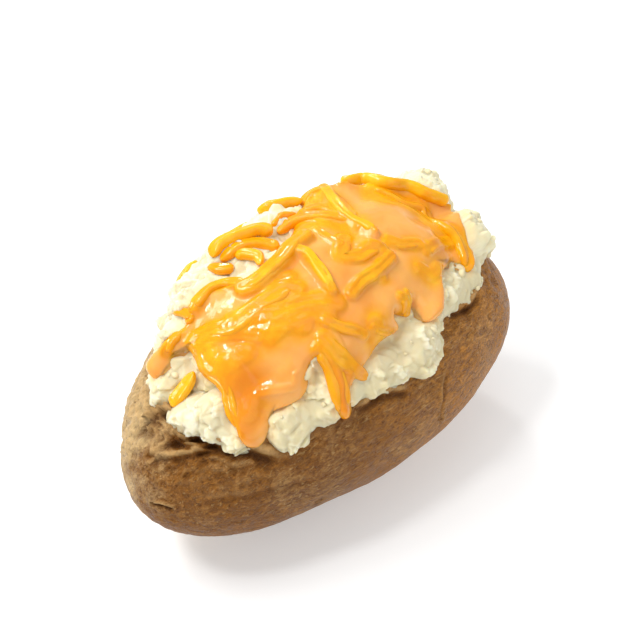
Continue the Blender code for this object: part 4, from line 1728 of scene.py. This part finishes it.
def rounded_end(share: Array) -> Array:
    """A quarter round: 0 at the end of a strand, 1 from a share of 1 on."""
    return np.sqrt(np.clip(1 - (1 - np.minimum(share, 1)) ** 2, 0, 1))


def ribbed(across: Array) -> Array:
    """Share of a strand's height left by the groove along its top, at shares of its half width."""
    return 1 - 0.3 * np.exp(-((across / 0.35) ** 2))


@dataclass
class GratedCheese:
    """Shreds of cheese, each a soft-cornered strand that lies on the heap or sinks into the sauce.

    slimness says how much longer the slim end is than the blunt one. side_power and top_power square off
    the cross-section's sides and its top.
    """

    heap: Heap
    rings: int = 110
    columns: int = 26
    slimness: float = 2.2
    side_power: float = 0.72
    top_power: float = 0.8
    unevenness: float = 0.3
    dent_size: float = 3.0 * MM
    dent_height: float = 0.09 * MM

    def build(self) -> list[bpy.types.Object]:
        """Every shred that still has a body of its own."""
        numbers = range(len(self.heap.shreds))
        return [self.build_shred(n) for n in numbers if not self.heap.shreds[n].melt.value.buried]

    def build_shred(self, number: int) -> bpy.types.Object:
        """One shred: a rounded cross-section carried along its route, closed by round ends.

        Args:
            number: Its place in the heap's list of shreds.

        Returns:
            The strand, named and dressed.
        """
        heap, shred = self.heap, self.heap.shreds[number]
        line = curve_through(heap.shred_lines[number], self.rings)
        along = np.linspace(0, 1, self.rings)
        lie = shred.melt.value
        rest = heap.sample(heap.bed[lie.settle], *apart(line))
        spine = heap.points(*apart(line), rest + shred.thick * lie.sink + shred.rise_at(along))
        outward = unit(heap.rays(*apart(line)) / np.array(heap.radii) ** 2)
        ahead = unit(np.gradient(spine, axis=0))
        side = unit(np.cross(ahead, outward))
        up = np.cross(side, ahead)
        run = way_along(spine)
        blunt, slim = (run, run[-1] - run) if number % 2 else (run[-1] - run, run)
        closing = rounded_end(blunt / shred.half) * rounded_end(slim / shred.half / self.slimness)
        uneven = 1 + self.unevenness * gradient_noise(spine / (7 * MM), seed=100 + number)
        turn = full_turn(self.columns)
        wide = signed_power(np.cos(turn), self.side_power) * shred.half * (closing * uneven)[:, None]
        high = signed_power(np.sin(turn), self.top_power) * shred.thick / 2 * closing[:, None]
        high *= np.where(high > 0, ribbed(np.cos(turn)), 1.0)
        points = spine[:, None] + side[:, None] * wide[..., None] + up[:, None] * high[..., None]
        dent = layered_noise(points, self.dent_size, seed=200 + number, layers=2) * self.dent_height
        points += unit(points - spine[:, None]) * dent[..., None] * closing[:, None, None]
        obj = closed_mesh(f"shred_{number + 1:02d}", points)
        (GRATED if shred.melt is Melt.FIRM else CHEESE).dress(obj)
        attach(obj, BODY)
        if shred.node:
            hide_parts(f"cheese_shred_{shred.node:02d}")
        return obj


# ============================================================ stage
@dataclass(frozen=True)
class Lamp:
    """A square soft lamp: degrees round from the camera, degrees up, metres away, width and watts."""

    name: str
    turn: float
    elevation: float
    distance: float
    size: float
    power: float


@dataclass
class Stage:
    """Floor, light and camera."""

    centre: Array
    azimuth: float = -45.6
    elevation: float = 40.0
    distance: float = 392.6 * MM
    aim: tuple[float, float, float] = (5.45 * MM, 1.3 * MM, 41.3 * MM)
    lens: float = 85.0
    floor_half: float = 3.0
    floor_gap: float = 0.05 * MM
    room_light: float = 0.5
    lamps: tuple[Lamp, ...] = (
        Lamp("key", turn=-84, elevation=60, distance=0.8, size=0.28, power=2.0),
        Lamp("top", turn=0, elevation=84, distance=0.8, size=0.35, power=0.6),
        Lamp("gloss", turn=-52, elevation=60, distance=0.9, size=0.13, power=2.2),
        Lamp("far gloss", turn=-118, elevation=56, distance=0.9, size=0.15, power=1.5),
        Lamp("back gloss", turn=-168, elevation=46, distance=0.9, size=0.12, power=1.4),
        Lamp("fill", turn=62, elevation=40, distance=1.0, size=0.8, power=1.4),
    )

    def build(self) -> None:
        """Set up everything that isn't part of the object."""
        bpy.context.scene.view_settings.view_transform = "Standard"
        self.build_floor()
        self.build_room_light()
        for lamp in self.lamps:
            light = bpy.data.lights.new(lamp.name, "AREA")
            light.size = lamp.size
            light.energy = lamp.power
            self.place(light, self.centre, self.azimuth + lamp.turn, lamp.elevation, lamp.distance)
        self.build_camera()

    def build_floor(self) -> None:
        """A wide flat sheet just under the resting spot."""
        corners = np.array([(-1, -1, 0), (1, -1, 0), (1, 1, 0), (-1, 1, 0)]) * self.floor_half
        floor = mesh_of("floor", corners - (0, 0, self.floor_gap), [np.array([[0, 1, 2, 3]])])
        floor.data.materials.append(FLOOR.material())

    def build_room_light(self) -> None:
        """Pale light from all round, as in a bright room."""
        world = bpy.data.worlds.new("pale_room")
        world.use_nodes = True
        background = world.node_tree.nodes["Background"]
        background.inputs["Color"].default_value = (1.0, 1.0, 1.0, 1.0)
        background.inputs["Strength"].default_value = self.room_light
        bpy.context.scene.world = world

    def build_camera(self) -> None:
        """Camera that looks down on the potato's near left end."""
        camera = bpy.data.cameras.new("camera")
        camera.lens = self.lens
        camera.clip_start = 0.01
        made = self.place(camera, self.aim, self.azimuth, self.elevation, self.distance)
        bpy.context.scene.camera = made

    def place(self, data: bpy.types.ID, target: Sequence[float], azimuth: float, elevation: float,
              distance: float) -> bpy.types.Object:
        """An object with a lamp or camera in it that faces a target from a bearing, height and distance.

        Args:
            data: The lamp or camera.
            target: Point that it faces, in metres.
            azimuth, elevation: Where it stands, in degrees, as direction_to takes them.
            distance: How far off it stands, in metres.

        Returns:
            The placed object.
        """
        obj = bpy.data.objects.new(data.name, data)
        bpy.context.scene.collection.objects.link(obj)
        back = direction_to(azimuth, elevation)
        obj.location = Vector(target) + back * distance
        obj.rotation_euler = back.to_track_quat("Z", "Y").to_euler()
        return obj


def direction_to(azimuth: float, elevation: float) -> Vector:
    """Direction from the object to a viewer, where azimuth 0 looks along +Y and elevation is up."""
    turn, up = math.radians(azimuth), math.radians(elevation)
    return Vector((math.sin(turn) * math.cos(up), -math.cos(turn) * math.cos(up), math.sin(up)))


def main() -> None:
    """Build the potato from the inside out, then the stage, and report each piece."""
    logging.basicConfig(level=logging.INFO, format="%(message)s")
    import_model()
    low, high = (np.array(corner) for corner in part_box("jacket"))
    anchor = np.array([(low[0] + high[0]) / 2, (low[1] + high[1]) / 2, low[2]])
    potato = Potato(half_length=(high[0] - low[0]) / 2, half_width=(high[1] - low[1]) / 2)
    heap = Heap(anchor, potato)
    pieces = [Jacket(potato).build()]
    pieces += Flesh(heap).build()
    pieces.append(Sauce(heap).build())
    pieces += GratedCheese(heap).build()
    Stage(anchor).build()
    for piece in pieces:
        log.info("%s: %d faces", piece.name, len(piece.data.polygons))


if __name__ == "__main__":
    main()
